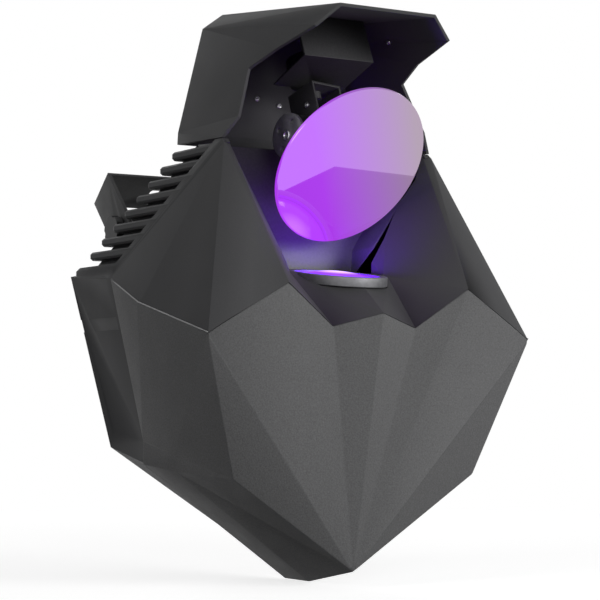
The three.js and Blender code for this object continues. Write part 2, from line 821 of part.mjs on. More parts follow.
// A thin wheel with round windows on a circle through the light path, and a hub below it.
function opticWheel(side, lift, windows) {
  const top = lowerShelfZ + lift;
  const circle = Math.hypot(wheelAxisX, wheelAxisY);
  const start = Math.atan2(-wheelAxisY, -side * wheelAxisX);
  const disc = bar('z', top - wheelThick, top, wheelR, side * wheelAxisX, wheelAxisY, roundSteps);
  const hub = bar('z', top - wheelHubLong, top, wheelHubR, side * wheelAxisX, wheelAxisY);
  let body = disc.add(hub);
  for (let i = 0; i < windows; i += 1) {
    const angle = start + (i / windows) * 2 * Math.PI;
    const x = side * wheelAxisX + circle * Math.cos(angle);
    const y = wheelAxisY + circle * Math.sin(angle);
    body = body.subtract(bar('z', top - overrun, top + overrun, wheelHoleR, x, y));
  }
  const shaftTop = top + overrun;
  return body.subtract(bar('z', top - overrun, shaftTop, shaftR + seat, side * wheelAxisX, wheelAxisY));
}

// A round motor with two ears. Its mounting face is at zero and its shaft points up.
function motor(shaft) {
  const can = bar('z', -motorLong, 0, motorR, 0, 0, roundSteps);
  const half = motorEarSpan / 2;
  const ears = [-1, 1].map((side) => bar('z', -motorEarThick, 0, motorEarR, side * half, 0));
  const bridge = box(-half, half, -motorEarR, motorEarR, -motorEarThick, 0);
  return unite([can, bridge, ...ears, bar('z', -motorEarThick, shaft, shaftR, 0, 0)]);
}

const at = (x, y, z) => new THREE.Matrix4().setPosition(x, y, z);
function opticMotor(side, lift) {
  const z = lowerShelfZ - sheet - seat;
  return placed(motor(lift - z + lowerShelfZ), at(side * wheelAxisX, wheelAxisY, z));
}

// The light source, from the condenser down to the fan
const sinkTopZ = frameLowZ - seat;
const ledTopZ = sinkTopZ + seat + ledThick;
function condenser() {
  return domedLens(condenserR, condenserLong - lensCrown, lensCrown, ledTopZ + ledDomeR + seat);
}

function ledModule() {
  const board = box(-ledHalf, ledHalf, -ledHalf, ledHalf, ledTopZ - ledThick, ledTopZ);
  const dome = domedLens(ledDomeR, seat, ledDomeR - 2 * seat, ledTopZ - seat);
  return board.add(dome);
}

function condenserHolder() {
  const outer = condenserR + sheet + seat;
  const top = ledTopZ + ledDomeR + condenserLong;
  return turned([
    [condenserR + seat, ledTopZ + seat], [outer, ledTopZ + seat], [outer, top],
    [condenserR - sheet, top], [condenserR - sheet, top - sheet], [condenserR + seat, top - sheet],
  ]);
}

function heatSink() {
  const base = box(-opticsX, opticsX, -sinkY, sinkY, sinkTopZ - sinkBase, sinkTopZ);
  const pitch = (2 * sinkX - finThick) / (finCount - 1);
  const fins = Array.from({ length: finCount }, (_, i) => {
    const x = -sinkX + i * pitch;
    return box(x, x + finThick, -sinkY, sinkY, sinkTopZ - sinkBase - finLong, sinkTopZ - sinkBase + seat);
  });
  return unite([base, ...fins]);
}

// A cooling fan around zero: its frame with the motor's seat, and the rotor that turns in it.
function fanFrame() {
  const ring = box(-fanHalf, fanHalf, -fanHalf, fanHalf, 0, fanDeep)
    .subtract(bar('z', -overrun, fanDeep + overrun, fanBoreR, 0, 0, roundSteps));
  const hub = bar('z', 0, fanArmThick, fanHubR, 0, 0);
  const arms = Array.from({ length: fanArms }, (_, i) => {
    const arm = box(0, fanBoreR + runGap, -fanArmWide / 2, fanArmWide / 2, 0, fanArmThick);
    return placed(arm, new THREE.Matrix4().makeRotationZ(((i + 1 / 2) / fanArms) * 2 * Math.PI));
  });
  return unite([ring, hub, ...arms]);
}

function fanRotor() {
  const low = fanArmThick + seat;
  const hub = bar('z', low, fanDeep - seat, fanHubR, 0, 0);
  const tall = fanBladeDeep / Math.sin(deg(fanPitchDeg));
  const blades = Array.from({ length: fanBlades }, (_, i) => {
    const blade = box(0, fanTipR, -fanBladeThick / 2, fanBladeThick / 2, -tall / 2, tall / 2);
    const pitched = new THREE.Matrix4().makeRotationX(deg(fanPitchDeg));
    const turn = new THREE.Matrix4().makeRotationZ((i / fanBlades) * 2 * Math.PI);
    return placed(blade, turn.multiply(at(0, 0, (low + fanDeep) / 2)).multiply(pitched));
  });
  const room = bar('z', low, fanDeep - seat, fanTipR, 0, 0, roundSteps);
  return unite([hub, ...blades]).intersect(room);
}

// Motor shelf under the hood: a flap square to the pan axis, folded up to the hood's roof
const roofZ = (y) => visorZ + ((y - visorY) * (crownZ - visorZ)) / (eaveY - visorY) - hoodWall - seat;
function motorShelf() {
  const slope = deg(panLeanDeg);
  const down = [flapLong * Math.cos(slope), -flapLong * Math.sin(slope)];
  const thick = [sheet * Math.sin(slope), sheet * Math.cos(slope)];
  const top = [leafTopY, roofZ(leafTopY)];
  const far = [leafTopY + leafFlange, roofZ(leafTopY + leafFlange)];
  const outline = [
    [foldY, foldZ], [foldY + down[0], foldZ + down[1]],
    [foldY + down[0] + thick[0], foldZ + down[1] + thick[1]],
    [foldY + 2 * thick[1], foldZ + thick[0]], [top[0] + sheet, top[1] - sheet],
    [far[0], far[1] - sheet], far, top,
  ];
  const body = plate(outline, facingSide, -flapHalf, flapHalf);
  const shaftHole = placed(bar('z', flapUnder() - overrun, flapUnder() + overrun, shaftR + runGap), panFrame);
  return body.subtract(shaftHole);
}

const panFrame = new THREE.Matrix4().makeRotationX(-deg(panLeanDeg)).setPosition(0, headY, headZ);
const flapUnder = () => V(0, foldY, foldZ).applyMatrix4(panFrame.clone().invert()).z;

// Pan motor: on the shelf, its shaft down through it to the yoke
function panMotor() {
  const face = flapUnder() + sheet + seat;
  const shaft = face - yokeUp - yokeSheet - seat;
  const flipped = new THREE.Matrix4().makeRotationX(Math.PI);
  return placed(motor(shaft), at(0, 0, face).multiply(flipped));
}

// Yoke: a top plate and two cheeks round the tilt axis
function panYoke() {
  const outer = cheekInner + yokeSheet;
  const top = box(-outer, outer, -yokeHalf, yokeHalf, yokeUp, yokeUp + yokeSheet);
  const outline = [[-yokeHalf, yokeUp + seat], [yokeHalf, yokeUp + seat], [yokeHalf, 0]];
  for (let i = 1; i < arcSteps * 2; i += 1) {
    const angle = (-i / (arcSteps * 2)) * Math.PI;
    outline.push([yokeHalf * Math.cos(angle), yokeHalf * Math.sin(angle)]);
  }
  outline.push([-yokeHalf, 0]);
  const left = plate(outline, facingSide, -outer, -cheekInner);
  const right = plate(outline, facingSide, cheekInner, outer);
  const hub = bar('z', yokeUp - yokeHubLong, yokeUp + seat, yokeHubR, 0, 0);
  const body = unite([top, left, right, hub]);
  return body.subtract(bar('x', -outer - overrun, outer + overrun, pinR + seat, 0, 0));
}

// Tilt motor on the yoke's left cheek, with a bright end cap
const capFace = -(cheekInner + yokeSheet + 2 * seat + motorLong);
function tiltMotor() {
  const face = -(cheekInner + yokeSheet + seat);
  const shaft = yokeSheet + seat + cheekInner - armHalf + overrun;
  return placed(motor(shaft), at(face, 0, 0).multiply(facingSide));
}

function tiltMotorCap() {
  const outer = capFace - capThick;
  const disc = bar('x', outer, capFace, motorR, 0, 0, roundSteps);
  const bush = bar('x', outer - runGap, capFace, bushR, 0, 0);
  const holes = Array.from({ length: capHoles }, (_, i) => {
    const angle = ((i + 1 / 2) / capHoles) * 2 * Math.PI;
    const y = capHoleCircle * Math.cos(angle);
    const z = capHoleCircle * Math.sin(angle);
    return bar('x', outer - overrun, outer + runGap, capHoleR, y, z, smallSteps / 2);
  });
  return unite([disc, bush]).subtract(unite(holes));
}

// Mirror arm: a hub on the tilt axis, a rib and a round pad behind the glass
const glassBack = mirrorThick - mirrorReach;
function mirrorArm() {
  const hub = bar('x', -armHalf, armHalf, armHubR, 0, 0);
  const rib = box(-armRibHalf, armRibHalf, glassBack + padThick, 0, -armRibHalf, armRibHalf);
  const pad = bar('y', glassBack + seat, glassBack + seat + padThick, padR, 0, 0, roundSteps);
  const bore = bar('x', -armHalf - overrun, -armHalf + 2 * overrun, shaftR + seat, 0, 0);
  const pinBore = bar('x', armHalf - overrun, armHalf + overrun, pinR + seat, 0, 0);
  return unite([hub, rib, pad]).subtract(bore).subtract(pinBore);
}

const mirror = () => bar('y', -mirrorReach, glassBack, mirrorR, 0, 0, roundSteps * 2);

function tiltPin() {
  const outer = cheekInner + yokeSheet + seat;
  const pin = bar('x', armHalf - overrun + seat, outer + seat, pinR, 0, 0);
  return pin.add(bar('x', outer, outer + yokeSheet, 2 * pinR, 0, 0));
}

// Frame plate behind the seam, and the box that closes the back
function framePlateBody() {
  const slab = box(-cornerX, cornerX, framePlateY, framePlateY + framePlate, keelZ, ledgeLowZ - seat);
  const room = skirtRoom(shellWall + runGap, -seamY, 0);
  const window = box(-frameWindowX, frameWindowX, 0, rearY, frameWindowLow, frameWindowTop);
  return slab.intersect(room).subtract(window);
}

function rearBox() {
  const from = framePlateY + framePlate + seat;
  const outer = plate(boxOutline, facingBack, from, boxBackY);
  const inner = plate(grownOutline(boxOutline, -sheet), facingBack, from - overrun, boxBackY + overrun);
  return outer.subtract(inner);
}

const panelBack = boxBackY - panelInset;
const panelFront = panelBack - panelThick;
const boardBack = panelFront - boardPost - seat;
const buttonX = (i) => (i - (buttonCount - 1) / 2) * buttonPitch;
function rearPanel() {
  const outline = grownOutline(boxOutline, -sheet - seat);
  const from = panelFront - overrun;
  const to = panelBack + overrun;
  const windowX = displayX + seat;
  const windowHalf = displayHalf + seat;
  const cuts = [
    box(-windowX, windowX, from, to, displayZ - windowHalf, displayZ + windowHalf),
    bar('y', from, to, fuseR + seat, 0, fuseZ),
    ...[-1, 1].map((side) => bar('y', from, to, dataR + seat, side * dataX, socketZ, roundSteps)),
    ...[-1, 1].map((side) => box(
      side * powerX - powerHalfX + socketWall, side * powerX + powerHalfX - socketWall,
      from, to, socketZ - powerHalfZ + socketWall, socketZ + powerHalfZ - socketWall,
    )),
  ];
  for (let i = 0; i < buttonCount; i += 1) {
    cuts.push(bar('y', from, to, buttonR + seat, buttonX(i), buttonZ, smallSteps));
  }
  const rows = Math.floor((2 * fanBoreR) / fanSlotPitch);
  for (let i = 0; i < rows; i += 1) {
    const z = fanZ + (i - (rows - 1) / 2) * fanSlotPitch;
    cuts.push(box(-fanSlotLong, fanSlotLong, from, to, z - fanSlotHalf, z + fanSlotHalf));
  }
  const posts = [-1, 1].map((side) => bar(
    'y', panelFront - boardPost, panelFront + seat, boardPostR, side * (boardHalf - 2 * boardPostR), buttonZ,
  ));
  const body = plate(outline, facingBack, panelFront, panelBack).add(unite(posts));
  return cuts.reduce((rest, cut) => rest.subtract(cut), body);
}

function displayWindow() {
  const from = panelBack - displayThick;
  return box(-displayX, displayX, from, panelBack, displayZ - displayHalf, displayZ + displayHalf);
}

function button(i) {
  const inner = boardBack + buttonTravel + seat;
  const cap = bar('y', inner, panelBack + buttonProud, buttonR, buttonX(i), buttonZ);
  const collar = bar('y', inner, panelFront - seat, buttonR + runGap, buttonX(i), buttonZ);
  return cap.add(collar);
}

function controlBoard() {
  return box(-boardHalf, boardHalf, boardBack - boardThick, boardBack, boardLowZ, boardTopZ);
}

// Sockets: a flange on the panel, a shell behind it and a floor with its contacts
function dataSocket(side, male) {
  const x = side * dataX;
  const flange = box(x - dataHalfX, x + dataHalfX, panelBack + seat, panelBack + seat + socketFlange,
    socketZ - dataHalfZ, socketZ + dataHalfZ);
  const shell = bar('y', panelBack - socketDeep, panelBack + socketFlange, dataR, x, socketZ, roundSteps);
  const bore = bar('y', panelBack - socketDeep + socketFloor, rearY * 2, dataBoreR, x, socketZ, roundSteps);
  const pins = Array.from({ length: contacts }, (_, i) => {
    const angle = Math.PI / 2 + (i / contacts) * 2 * Math.PI;
    const px = x + (dataBoreR / 2) * Math.cos(angle);
    const pz = socketZ + (dataBoreR / 2) * Math.sin(angle);
    const tip = male ? panelBack - socketWall : panelBack + overrun;
    return bar('y', panelBack - socketDeep + socketWall, tip, dataPinR, px, pz, smallSteps / 2);
  });
  const hollow = unite([flange, shell]).subtract(bore);
  if (male) return unite([hollow, ...pins]);
  const core = bar('y', panelBack - socketDeep, panelBack, dataBoreR - runGap, x, socketZ, roundSteps);
  return hollow.add(core.subtract(unite(pins)));
}

function powerSocket(side, male) {
  const x = side * powerX;
  const flange = box(x - powerHalfX, x + powerHalfX, panelBack + seat, panelBack + seat + socketFlange,
    socketZ - powerHalfZ, socketZ + powerHalfZ);
  const inX = powerHalfX - 2 * socketWall;
  const inZ = powerHalfZ - 2 * socketWall;
  const deep = panelBack - socketDeep;
  const shell = box(x - inX, x + inX, deep, panelBack + socketFlange, socketZ - inZ, socketZ + inZ);
  const mouth = box(x - inX + socketWall, x + inX - socketWall, deep + socketFloor, rearY * 2,
    socketZ - inZ + socketWall, socketZ + inZ - socketWall);
  const tip = male ? panelBack - socketWall : rearY * 2;
  const blades = unite(Array.from({ length: contacts }, (_, i) => {
    const bx = x + (i - (contacts - 1) / 2) * socketFloor;
    return box(bx - socketWall / 2, bx + socketWall / 2, deep + socketWall, tip,
      socketZ - socketWall, socketZ + socketWall);
  }));
  const hollow = unite([flange, shell]).subtract(mouth);
  if (male) return hollow.add(blades);
  const coreX = inX - 2 * socketWall;
  const coreZ = inZ - 2 * socketWall;
  const core = box(x - coreX, x + coreX, deep, panelBack, socketZ - coreZ, socketZ + coreZ);
  return hollow.add(core.subtract(blades));
}

function fuseHolder() {
  const barrel = bar('y', panelBack - fuseDeep, panelBack + fuseCap, fuseR, 0, fuseZ);
  const cap = bar('y', panelBack + seat, panelBack + fuseCap, fuseCapR, 0, fuseZ);
  const slotZ = runGap / 2;
  const slot = box(-fuseR, fuseR, panelBack + fuseCap - runGap, rearY * 2, fuseZ - slotZ, fuseZ + slotZ);
  return unite([barrel, cap]).subtract(slot);
}

function powerSupply() {
  const from = framePlateY + framePlate + seat;
  return box(-supplyX, supplyX, from, from + supplyY, supplyLowZ, supplyHighZ);
}

function safetyEye() {
  const curve = new THREE.CatmullRomCurve3([
    V(-eyeR, panelBack + seat, eyeZ), V(-eyeR, panelBack + eyeR, eyeZ),
    V(0, panelBack + 2 * eyeR, eyeZ), V(eyeR, panelBack + eyeR, eyeZ), V(eyeR, panelBack + seat, eyeZ),
  ]);
  const section = new THREE.Shape();
  section.absarc(0, 0, eyeWireR, 0, 2 * Math.PI);
  const wire = new THREE.ExtrudeGeometry(section, {
    steps: smallSteps, extrudePath: curve, curveSegments: arcSteps,
  });
  const foot = panelBack + seat;
  const feet = [-1, 1].map((side) => bar('y', foot, foot + runGap, eyeBase, side * eyeR, eyeZ));
  return unite([solid(wire), ...feet]);
}

// Bracket: one bent strip, its bar at the far end of its arms
function bracketBody() {
  const outer = bracketInner + bracketSheet;
  const half = bracketWide / 2;
  const armShape = [[half, 0], [half, bracketReach], [-half, bracketReach], [-half, 0]];
  for (let i = 1; i < arcSteps * 2; i += 1) {
    const angle = Math.PI + (i / (arcSteps * 2)) * Math.PI;
    armShape.push([half * Math.cos(angle), half * Math.sin(angle)]);
  }
  const turnUp = new THREE.Matrix4().makeBasis(V(0, 0, 1), V(0, 1, 0), V(-1, 0, 0));
  const arms = [-outer, bracketInner].map((x) => plate(armShape, turnUp, -x - bracketSheet, -x));
  const crossBar = box(-outer, outer, bracketReach - bracketSheet, bracketReach, -half, half);
  const holes = [
    bar('y', 0, bracketReach * 2, bracketHoleR, 0, 0),
    bar('x', -outer - overrun, outer + overrun, studR + seat, 0, 0),
    ...[-1, 1].map((side) => slotCutter(side * bracketSlotX)),
  ];
  return holes.reduce((rest, hole) => rest.subtract(hole), unite([...arms, crossBar]));
}

// A slot through the cross bar, with round ends.
function slotCutter(x) {
  const half = bracketSlotLong / 2;
  const far = bracketReach * 2;
  const ends = [-half, half].map((step) => bar('y', 0, far, bracketSlotR, x + step, 0));
  const middle = box(x - half, x + half, 0, far, -bracketSlotR, bracketSlotR);
  return unite([...ends, middle]);
}

// The pivot on each side: a stud on the box, a washer inside the arm and a knob outside it
function pivotStud(side) {
  const end = bracketInner + bracketSheet + knobBoss + knobLong / 2;
  const stud = bar('x', boxHalf + seat, end, studR, 0, 0);
  const base = bar('x', boxHalf + seat, bracketInner - washerThick - 2 * seat, washerR, 0, 0);
  return placed(stud.add(base), sideways(side));
}

function sideways(side) {
  return side > 0 ? level : new THREE.Matrix4().makeRotationZ(Math.PI);
}

function washer(side) {
  const ring = bar('x', bracketInner - seat - washerThick, bracketInner - seat, washerR, 0, 0)
    .subtract(bar('x', 0, rearY, studR + seat, 0, 0));
  return placed(ring, sideways(side));
}

function knob(side) {
  const inner = bracketInner + bracketSheet + seat;
  const boss = bar('x', inner, inner + knobBoss, knobBossR, 0, 0);
  const outer = inner + knobBoss + knobLong;
  const grip = bar('x', inner + knobBoss - seat, outer, knobR, 0, 0, roundSteps);
  const scallops = Array.from({ length: knobLobes }, (_, i) => {
    const angle = (i / knobLobes) * 2 * Math.PI;
    const y = (knobR + knobScallopR / 2) * Math.cos(angle);
    const z = (knobR + knobScallopR / 2) * Math.sin(angle);
    return bar('x', inner - overrun, outer + overrun, knobScallopR, y, z, smallSteps);
  });
  const bore = bar('x', 0, inner + knobBoss + knobLong / 2, studR + seat, 0, 0);
  return placed(unite([boss, grip]).subtract(unite(scallops)).subtract(bore), sideways(side));
}

// Everything in its place
function buildShells() {
  piece('front_cover', frontCover(), texturedPlastic, housing);
  piece('upper_shell', upperShell(), smoothPlastic, housing);
  piece('rear_shell', rearShell(), smoothPlastic, housing);
  piece('hood', hood(), smoothPlastic, housing);
  piece('well_tray', wellTray(), blackSteel, housing);
  piece('motor_shelf', motorShelf(), blackSteel, housing);
}

function buildOptics() {
  piece('lens_ring', lensRing(), smoothPlastic, beam);
  piece('lens', domedLens(lensR, lensEdge, lensCrown, lensLedge), lensGlass, beam);
  piece('lens_barrel', lensBarrel(), blackPlastic, beam);
  piece('optics_frame', opticsFrame(), blackSteel, housing);
  piece('gobo_wheel', opticWheel(wheelSides.gobo, goboLift, wheelHoles), zincSteel, beam);
  piece('gobo_motor', opticMotor(wheelSides.gobo, goboLift), blackSteel, beam);
  piece('colour_wheel', opticWheel(wheelSides.colour, colourLift, wheelHoles), zincSteel, beam);
  piece('colour_motor', opticMotor(wheelSides.colour, colourLift), blackSteel, beam);
  piece('condenser_lens', condenser(), lensGlass, beam);
  piece('condenser_holder', condenserHolder(), blackPlastic, beam);
  piece('led_module', ledModule(), aluminium, beam);
  piece('heat_sink', heatSink(), aluminium, beam);
  const flip = new THREE.Matrix4().makeRotationX(Math.PI);
  const under = at(0, 0, sinkTopZ - sinkBase - finLong - seat).multiply(flip);
  piece('lamp_fan_frame', placed(fanFrame(), under), blackPlastic, beam);
  piece('lamp_fan_rotor', placed(fanRotor(), under), blackPlastic, beam);
}

function buildMirror() {
  piece('pan_motor', panMotor(), blackSteel, lean);
  piece('pan_yoke', panYoke(), blackSteel, panHead);
  piece('tilt_motor', tiltMotor(), blackSteel, panHead);
  piece('tilt_motor_cap', tiltMotorCap(), zincSteel, panHead);
  piece('tilt_pin', tiltPin(), zincSteel, panHead);
  piece('mirror_arm', mirrorArm(), blackPlastic, tiltHead);
  piece('mirror', mirror(), mirrorGlass, tiltHead);
}

function buildRear() {
  piece('frame_plate', framePlateBody(), blackSteel, housing);
  piece('rear_box', rearBox(), blackSteel, housing);
  piece('rear_panel', rearPanel(), blackSteel, housing);
  piece('display_window', displayWindow(), blackPlastic, housing);
  for (let i = 0; i < buttonCount; i += 1) piece(`button_${i + 1}`, button(i), blackPlastic, housing);
  piece('control_board', controlBoard(), boardGreen, housing);
  piece('data_in', dataSocket(-1, true), zincSteel, housing);
  piece('data_out', dataSocket(1, false), zincSteel, housing);
  piece('power_in', powerSocket(-1, true), blackPlastic, housing);
  piece('power_out', powerSocket(1, false), blackPlastic, housing);
  piece('fuse_holder', fuseHolder(), blackPlastic, housing);
  const turn = new THREE.Matrix4().makeRotationX(Math.PI / 2);
  const behind = at(0, panelFront - seat, fanZ).multiply(turn);
  piece('rear_fan_frame', placed(fanFrame(), behind), blackPlastic, housing);
  piece('rear_fan_rotor', placed(fanRotor(), behind), blackPlastic, housing);
  piece('power_supply', powerSupply(), zincSteel, housing);
  piece('safety_eye', safetyEye(), zincSteel, housing);
}

function buildBracket() {
  piece('bracket', bracketBody(), blackSteel, hanger);
  for (const [name, side] of [['left', -1], ['right', 1]]) {
    piece(`pivot_stud_${name}`, pivotStud(side), zincSteel, hanger);
    piece(`washer_${name}`, washer(side), zincSteel, hanger);
    piece(`knob_${name}`, knob(side), blackPlastic, hanger);
  }
}

buildShells();
buildOptics();
buildMirror();
buildRear();
buildBracket();

// The bracket hangs from the origin, and the housing from the bracket's pivot.
const slant = deg(bracketLeanDeg);
const pivot = V(0, -bracketReach * Math.cos(slant), -bracketReach * Math.sin(slant));
const pivotInHousing = V(0, pivotY, pivotZ);
hanger.position.copy(pivot);
hanger.rotation.x = slant;
housing.position.copy(pivot.clone().sub(pivotInHousing));
beam.position.set(0, beamY, beamZ);
beam.rotation.x = deg(beamLeanDeg);
lean.position.set(0, headY, headZ);
lean.rotation.x = -deg(panLeanDeg);
panHead.rotation.z = deg(restPanDeg);
tiltHead.rotation.x = deg(restTiltDeg);

panHead.add(tiltHead);
lean.add(panHead);
housing.add(beam, lean);
object.add(hanger, housing);
export default object;
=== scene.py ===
"""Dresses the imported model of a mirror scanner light: moulded shells with soft edges, the moving
mirror and its motors, the glowing lens, the steel bracket and the rear panel, on a plain studio stage.

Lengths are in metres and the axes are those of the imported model: +Z is up and the beam leaves
towards -Y. The housing was drawn in a frame of its own, and HOUSING is where that frame's origin lies.
"""

import json
import math

import bpy
from mathutils import Matrix, Vector

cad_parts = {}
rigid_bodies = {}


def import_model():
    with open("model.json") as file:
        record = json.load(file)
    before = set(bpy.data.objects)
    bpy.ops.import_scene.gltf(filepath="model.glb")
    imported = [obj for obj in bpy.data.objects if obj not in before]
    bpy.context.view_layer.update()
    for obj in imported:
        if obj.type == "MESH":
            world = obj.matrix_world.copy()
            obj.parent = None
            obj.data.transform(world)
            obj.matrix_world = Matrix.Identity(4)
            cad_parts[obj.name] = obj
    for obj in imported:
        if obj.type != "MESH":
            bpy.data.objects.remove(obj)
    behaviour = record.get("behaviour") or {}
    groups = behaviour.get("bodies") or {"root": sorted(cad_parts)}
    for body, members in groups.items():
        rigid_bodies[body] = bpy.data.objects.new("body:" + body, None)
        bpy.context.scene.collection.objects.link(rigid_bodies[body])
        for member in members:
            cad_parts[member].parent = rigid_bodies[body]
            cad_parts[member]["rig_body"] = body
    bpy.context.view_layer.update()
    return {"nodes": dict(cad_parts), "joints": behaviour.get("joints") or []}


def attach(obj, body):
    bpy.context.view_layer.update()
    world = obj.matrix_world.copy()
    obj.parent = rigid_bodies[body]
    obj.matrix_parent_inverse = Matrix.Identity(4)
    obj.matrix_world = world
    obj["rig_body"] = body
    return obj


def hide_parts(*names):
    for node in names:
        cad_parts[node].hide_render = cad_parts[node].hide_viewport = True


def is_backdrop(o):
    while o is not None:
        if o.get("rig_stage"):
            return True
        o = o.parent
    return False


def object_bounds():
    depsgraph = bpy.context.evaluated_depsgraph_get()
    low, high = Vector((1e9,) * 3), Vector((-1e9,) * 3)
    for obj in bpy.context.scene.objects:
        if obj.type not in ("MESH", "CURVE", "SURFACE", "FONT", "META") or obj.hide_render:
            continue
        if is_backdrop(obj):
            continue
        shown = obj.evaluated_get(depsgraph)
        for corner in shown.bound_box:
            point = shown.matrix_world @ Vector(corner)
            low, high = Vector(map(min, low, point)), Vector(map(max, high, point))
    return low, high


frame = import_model()
JOINTS = {joint["name"]: joint for joint in frame["joints"]}

bl_info = {
    "name": "Scanner light dressing",
    "version": (1, 0, 0),
    "blender": (4, 5, 0),
    "location": "3D View > Sidebar > Scanner",
    "description": "Builds the visible pieces and finishes of a mirror scanner light",
    "category": "Object",
}

HOUSING = Vector((0, -0.262905, -0.104896))
HEAD = Vector(JOINTS["mirror_pan"]["pos_m"])
PAN_LEAN = math.radians(-20)
REST_PAN = math.radians(9)
REST_TILT = math.radians(54)
BEAM_LEAN = math.radians(8)
LENS_CENTRE = HOUSING + Vector((0, 0.055, 0.017))
MERGE = 0.00001
FLAT = math.radians(0.4)

HEAD_PLACE = Matrix.Translation(HEAD) @ Matrix.Rotation(PAN_LEAN, 4, "X") @ Matrix.Rotation(REST_PAN, 4, "Z")
MIRROR_PLACE = HEAD_PLACE @ Matrix.Rotation(REST_TILT, 4, "X")
BEAM_PLACE = Matrix.Translation(LENS_CENTRE) @ Matrix.Rotation(BEAM_LEAN, 4, "X")


def length(name, description, default):
    return bpy.props.FloatProperty(
        name=name, description=description, default=default, min=0, subtype="DISTANCE", unit="LENGTH"
    )


def colour(name, description, default):
    return bpy.props.FloatVectorProperty(
        name=name, description=description, default=default, size=3, min=0, max=1, subtype="COLOR"
    )


class ScannerSizes(bpy.types.PropertyGroup):
    cover_edge: length("Cover edge", "Rounding of the front cover's creases", 0.0009)
    shell_edge: length("Shell edge", "Rounding of the smooth shells' creases", 0.0007)
    sheet_edge: length("Sheet edge", "Rounding of folded and cut sheet edges", 0.0004)
    mirror_radius: length("Mirror radius", "Radius of the round mirror", 0.0673)
    mirror_thickness: length("Mirror thickness", "Thickness of the mirror glass", 0.003)
    mirror_reach: length("Mirror reach", "Distance from the tilt axis to the reflecting face", 0.040)
    lens_radius: length("Lens radius", "Radius of the front lens", 0.0324)
    lens_edge: length("Lens edge", "Height of the lens's edge", 0.003)
    lens_crown: length("Lens crown", "Height of the lens's dome over its edge", 0.005)
    lens_ledge: length("Lens ledge", "Underside of the lens above the deck", 0.002)
    ring_radius: length("Ring radius", "Outer radius of the ring round the lens", 0.0396)
    ring_bore: length("Ring bore", "Inner radius of the ring round the lens", 0.0336)
    ring_height: length("Ring height", "Height of the ring over the deck", 0.008)
    motor_radius: length("Motor radius", "Radius of the mirror motors", 0.01775)
    cap_reach: length("Cap reach", "Distance from the pan axis to the inner face of the end cap", 0.0356)
    cap_thickness: length("Cap thickness", "Thickness of the motor's end cap", 0.003)
    cap_hole_radius: length("Cap hole radius", "Radius of the holes in the end cap", 0.0022)
    cap_hole_circle: length("Cap hole circle", "Radius of the circle that the holes stand on", 0.0115)
    cap_edge: length("Cap edge", "Rounding of the end cap's edges", 0.0003)
    screw_radius: length("Screw radius", "Radius of the screw heads", 0.0024)
    lip_radius: length("Lip radius", "Radius of the lip along the cover's seam", 0.0005)


class ScannerColours(bpy.types.PropertyGroup):
    cover: colour("Cover", "Textured plastic of the front cover", (0.115, 0.115, 0.117))
    shell: colour("Shell", "Smooth plastic of the other shells", (0.055, 0.055, 0.057))
    steel: colour("Steel", "Black painted steel", (0.028, 0.028, 0.029))
    plastic: colour("Plastic", "Black plastic of small parts", (0.012, 0.012, 0.013))
    zinc: colour("Zinc", "Zinc plated steel", (0.52, 0.52, 0.54))
    aluminium: colour("Aluminium", "Bare aluminium", (0.40, 0.41, 0.43))
    board: colour("Board", "Circuit board", (0.012, 0.10, 0.04))
    lining: colour("Lining", "Dark sheet behind and under the mirror", (0.07, 0.07, 0.075))
    motor: colour("Motor", "Painted can of the small motors", (0.010, 0.010, 0.011))
    end_disc: colour("End disc", "Motor end plate and lens ring", (0.16, 0.16, 0.17))
    # The lip colour is a painted highlight along the cover's seam, standing in for light caught by the
    # moulding's edge.
    lip: colour("Lip", "Worn edge of the cover's moulding", (0.30, 0.30, 0.305))
    window: colour("Window", "Smoked window over the display", (0.006, 0.002, 0.002))
    silver: colour("Silver", "Mirror coating", (0.15, 0.13, 0.17))
    # The two haze colours are painted light: the emission colours of a violet glow painted across the
    # mirror, from where the beam strikes it to its far side.
    painted_glow_low: colour("Haze low", "Haze on the mirror where the beam strikes it", (0.48, 0.05, 0.98))
    painted_glow_high: colour("Haze high", "Haze on the mirror's far side", (0.36, 0.27, 0.34))
    lens_body: colour("Lens body", "Tint of the lens's glass", (0.30, 0.20, 0.50))
    glow: colour("Glow", "Colour of the lit lens at its rim", (0.14, 0.008, 0.95))
    glow_heart: colour("Glow heart", "Colour of the lit lens where it is brightest", (1.0, 0.72, 1.0))


def sizes():
    return bpy.context.scene.scanner_sizes


def colours():
    return bpy.context.scene.scanner_colours


def new_material(name, colour_value, roughness, metallic=0.0, shine=0.5):
    """A material with one shader, its even values set on the shader's own sockets."""
    made = bpy.data.materials.new(name)
    made.use_nodes = True
    shader = made.node_tree.nodes["Principled BSDF"]
    shader.inputs["Base Color"].default_value = (*colour_value, 1)
    shader.inputs["Roughness"].default_value = roughness
    shader.inputs["Metallic"].default_value = metallic
    shader.inputs["Specular IOR Level"].default_value = shine
    return made, made.node_tree, shader


def grain(tree, scale, detail=2.0, stretch=(1, 1, 1)):
    """Noise on the object's own coordinates; a stretch draws it out along an axis."""
    nodes, links = tree.nodes, tree.links
    place = nodes.new("ShaderNodeTexCoord")
    mapping = nodes.new("ShaderNodeMapping")
    mapping.inputs["Scale"].default_value = stretch
    noise = nodes.new("ShaderNodeTexNoise")
    noise.inputs["Scale"].default_value = scale
    noise.inputs["Detail"].default_value = detail
    links.new(place.outputs["Object"], mapping.inputs["Vector"])
    links.new(mapping.outputs["Vector"], noise.inputs["Vector"])
    return noise.outputs["Fac"]


def cells(tree, scale):
    """Rounded cells on the object's own coordinates, as in a leather grain."""
    nodes, links = tree.nodes, tree.links
    place = nodes.new("ShaderNodeTexCoord")
    voronoi = nodes.new("ShaderNodeTexVoronoi")
    voronoi.feature = "SMOOTH_F1"
    voronoi.inputs["Scale"].default_value = scale
    links.new(place.outputs["Object"], voronoi.inputs["Vector"])
    return voronoi.outputs["Distance"]


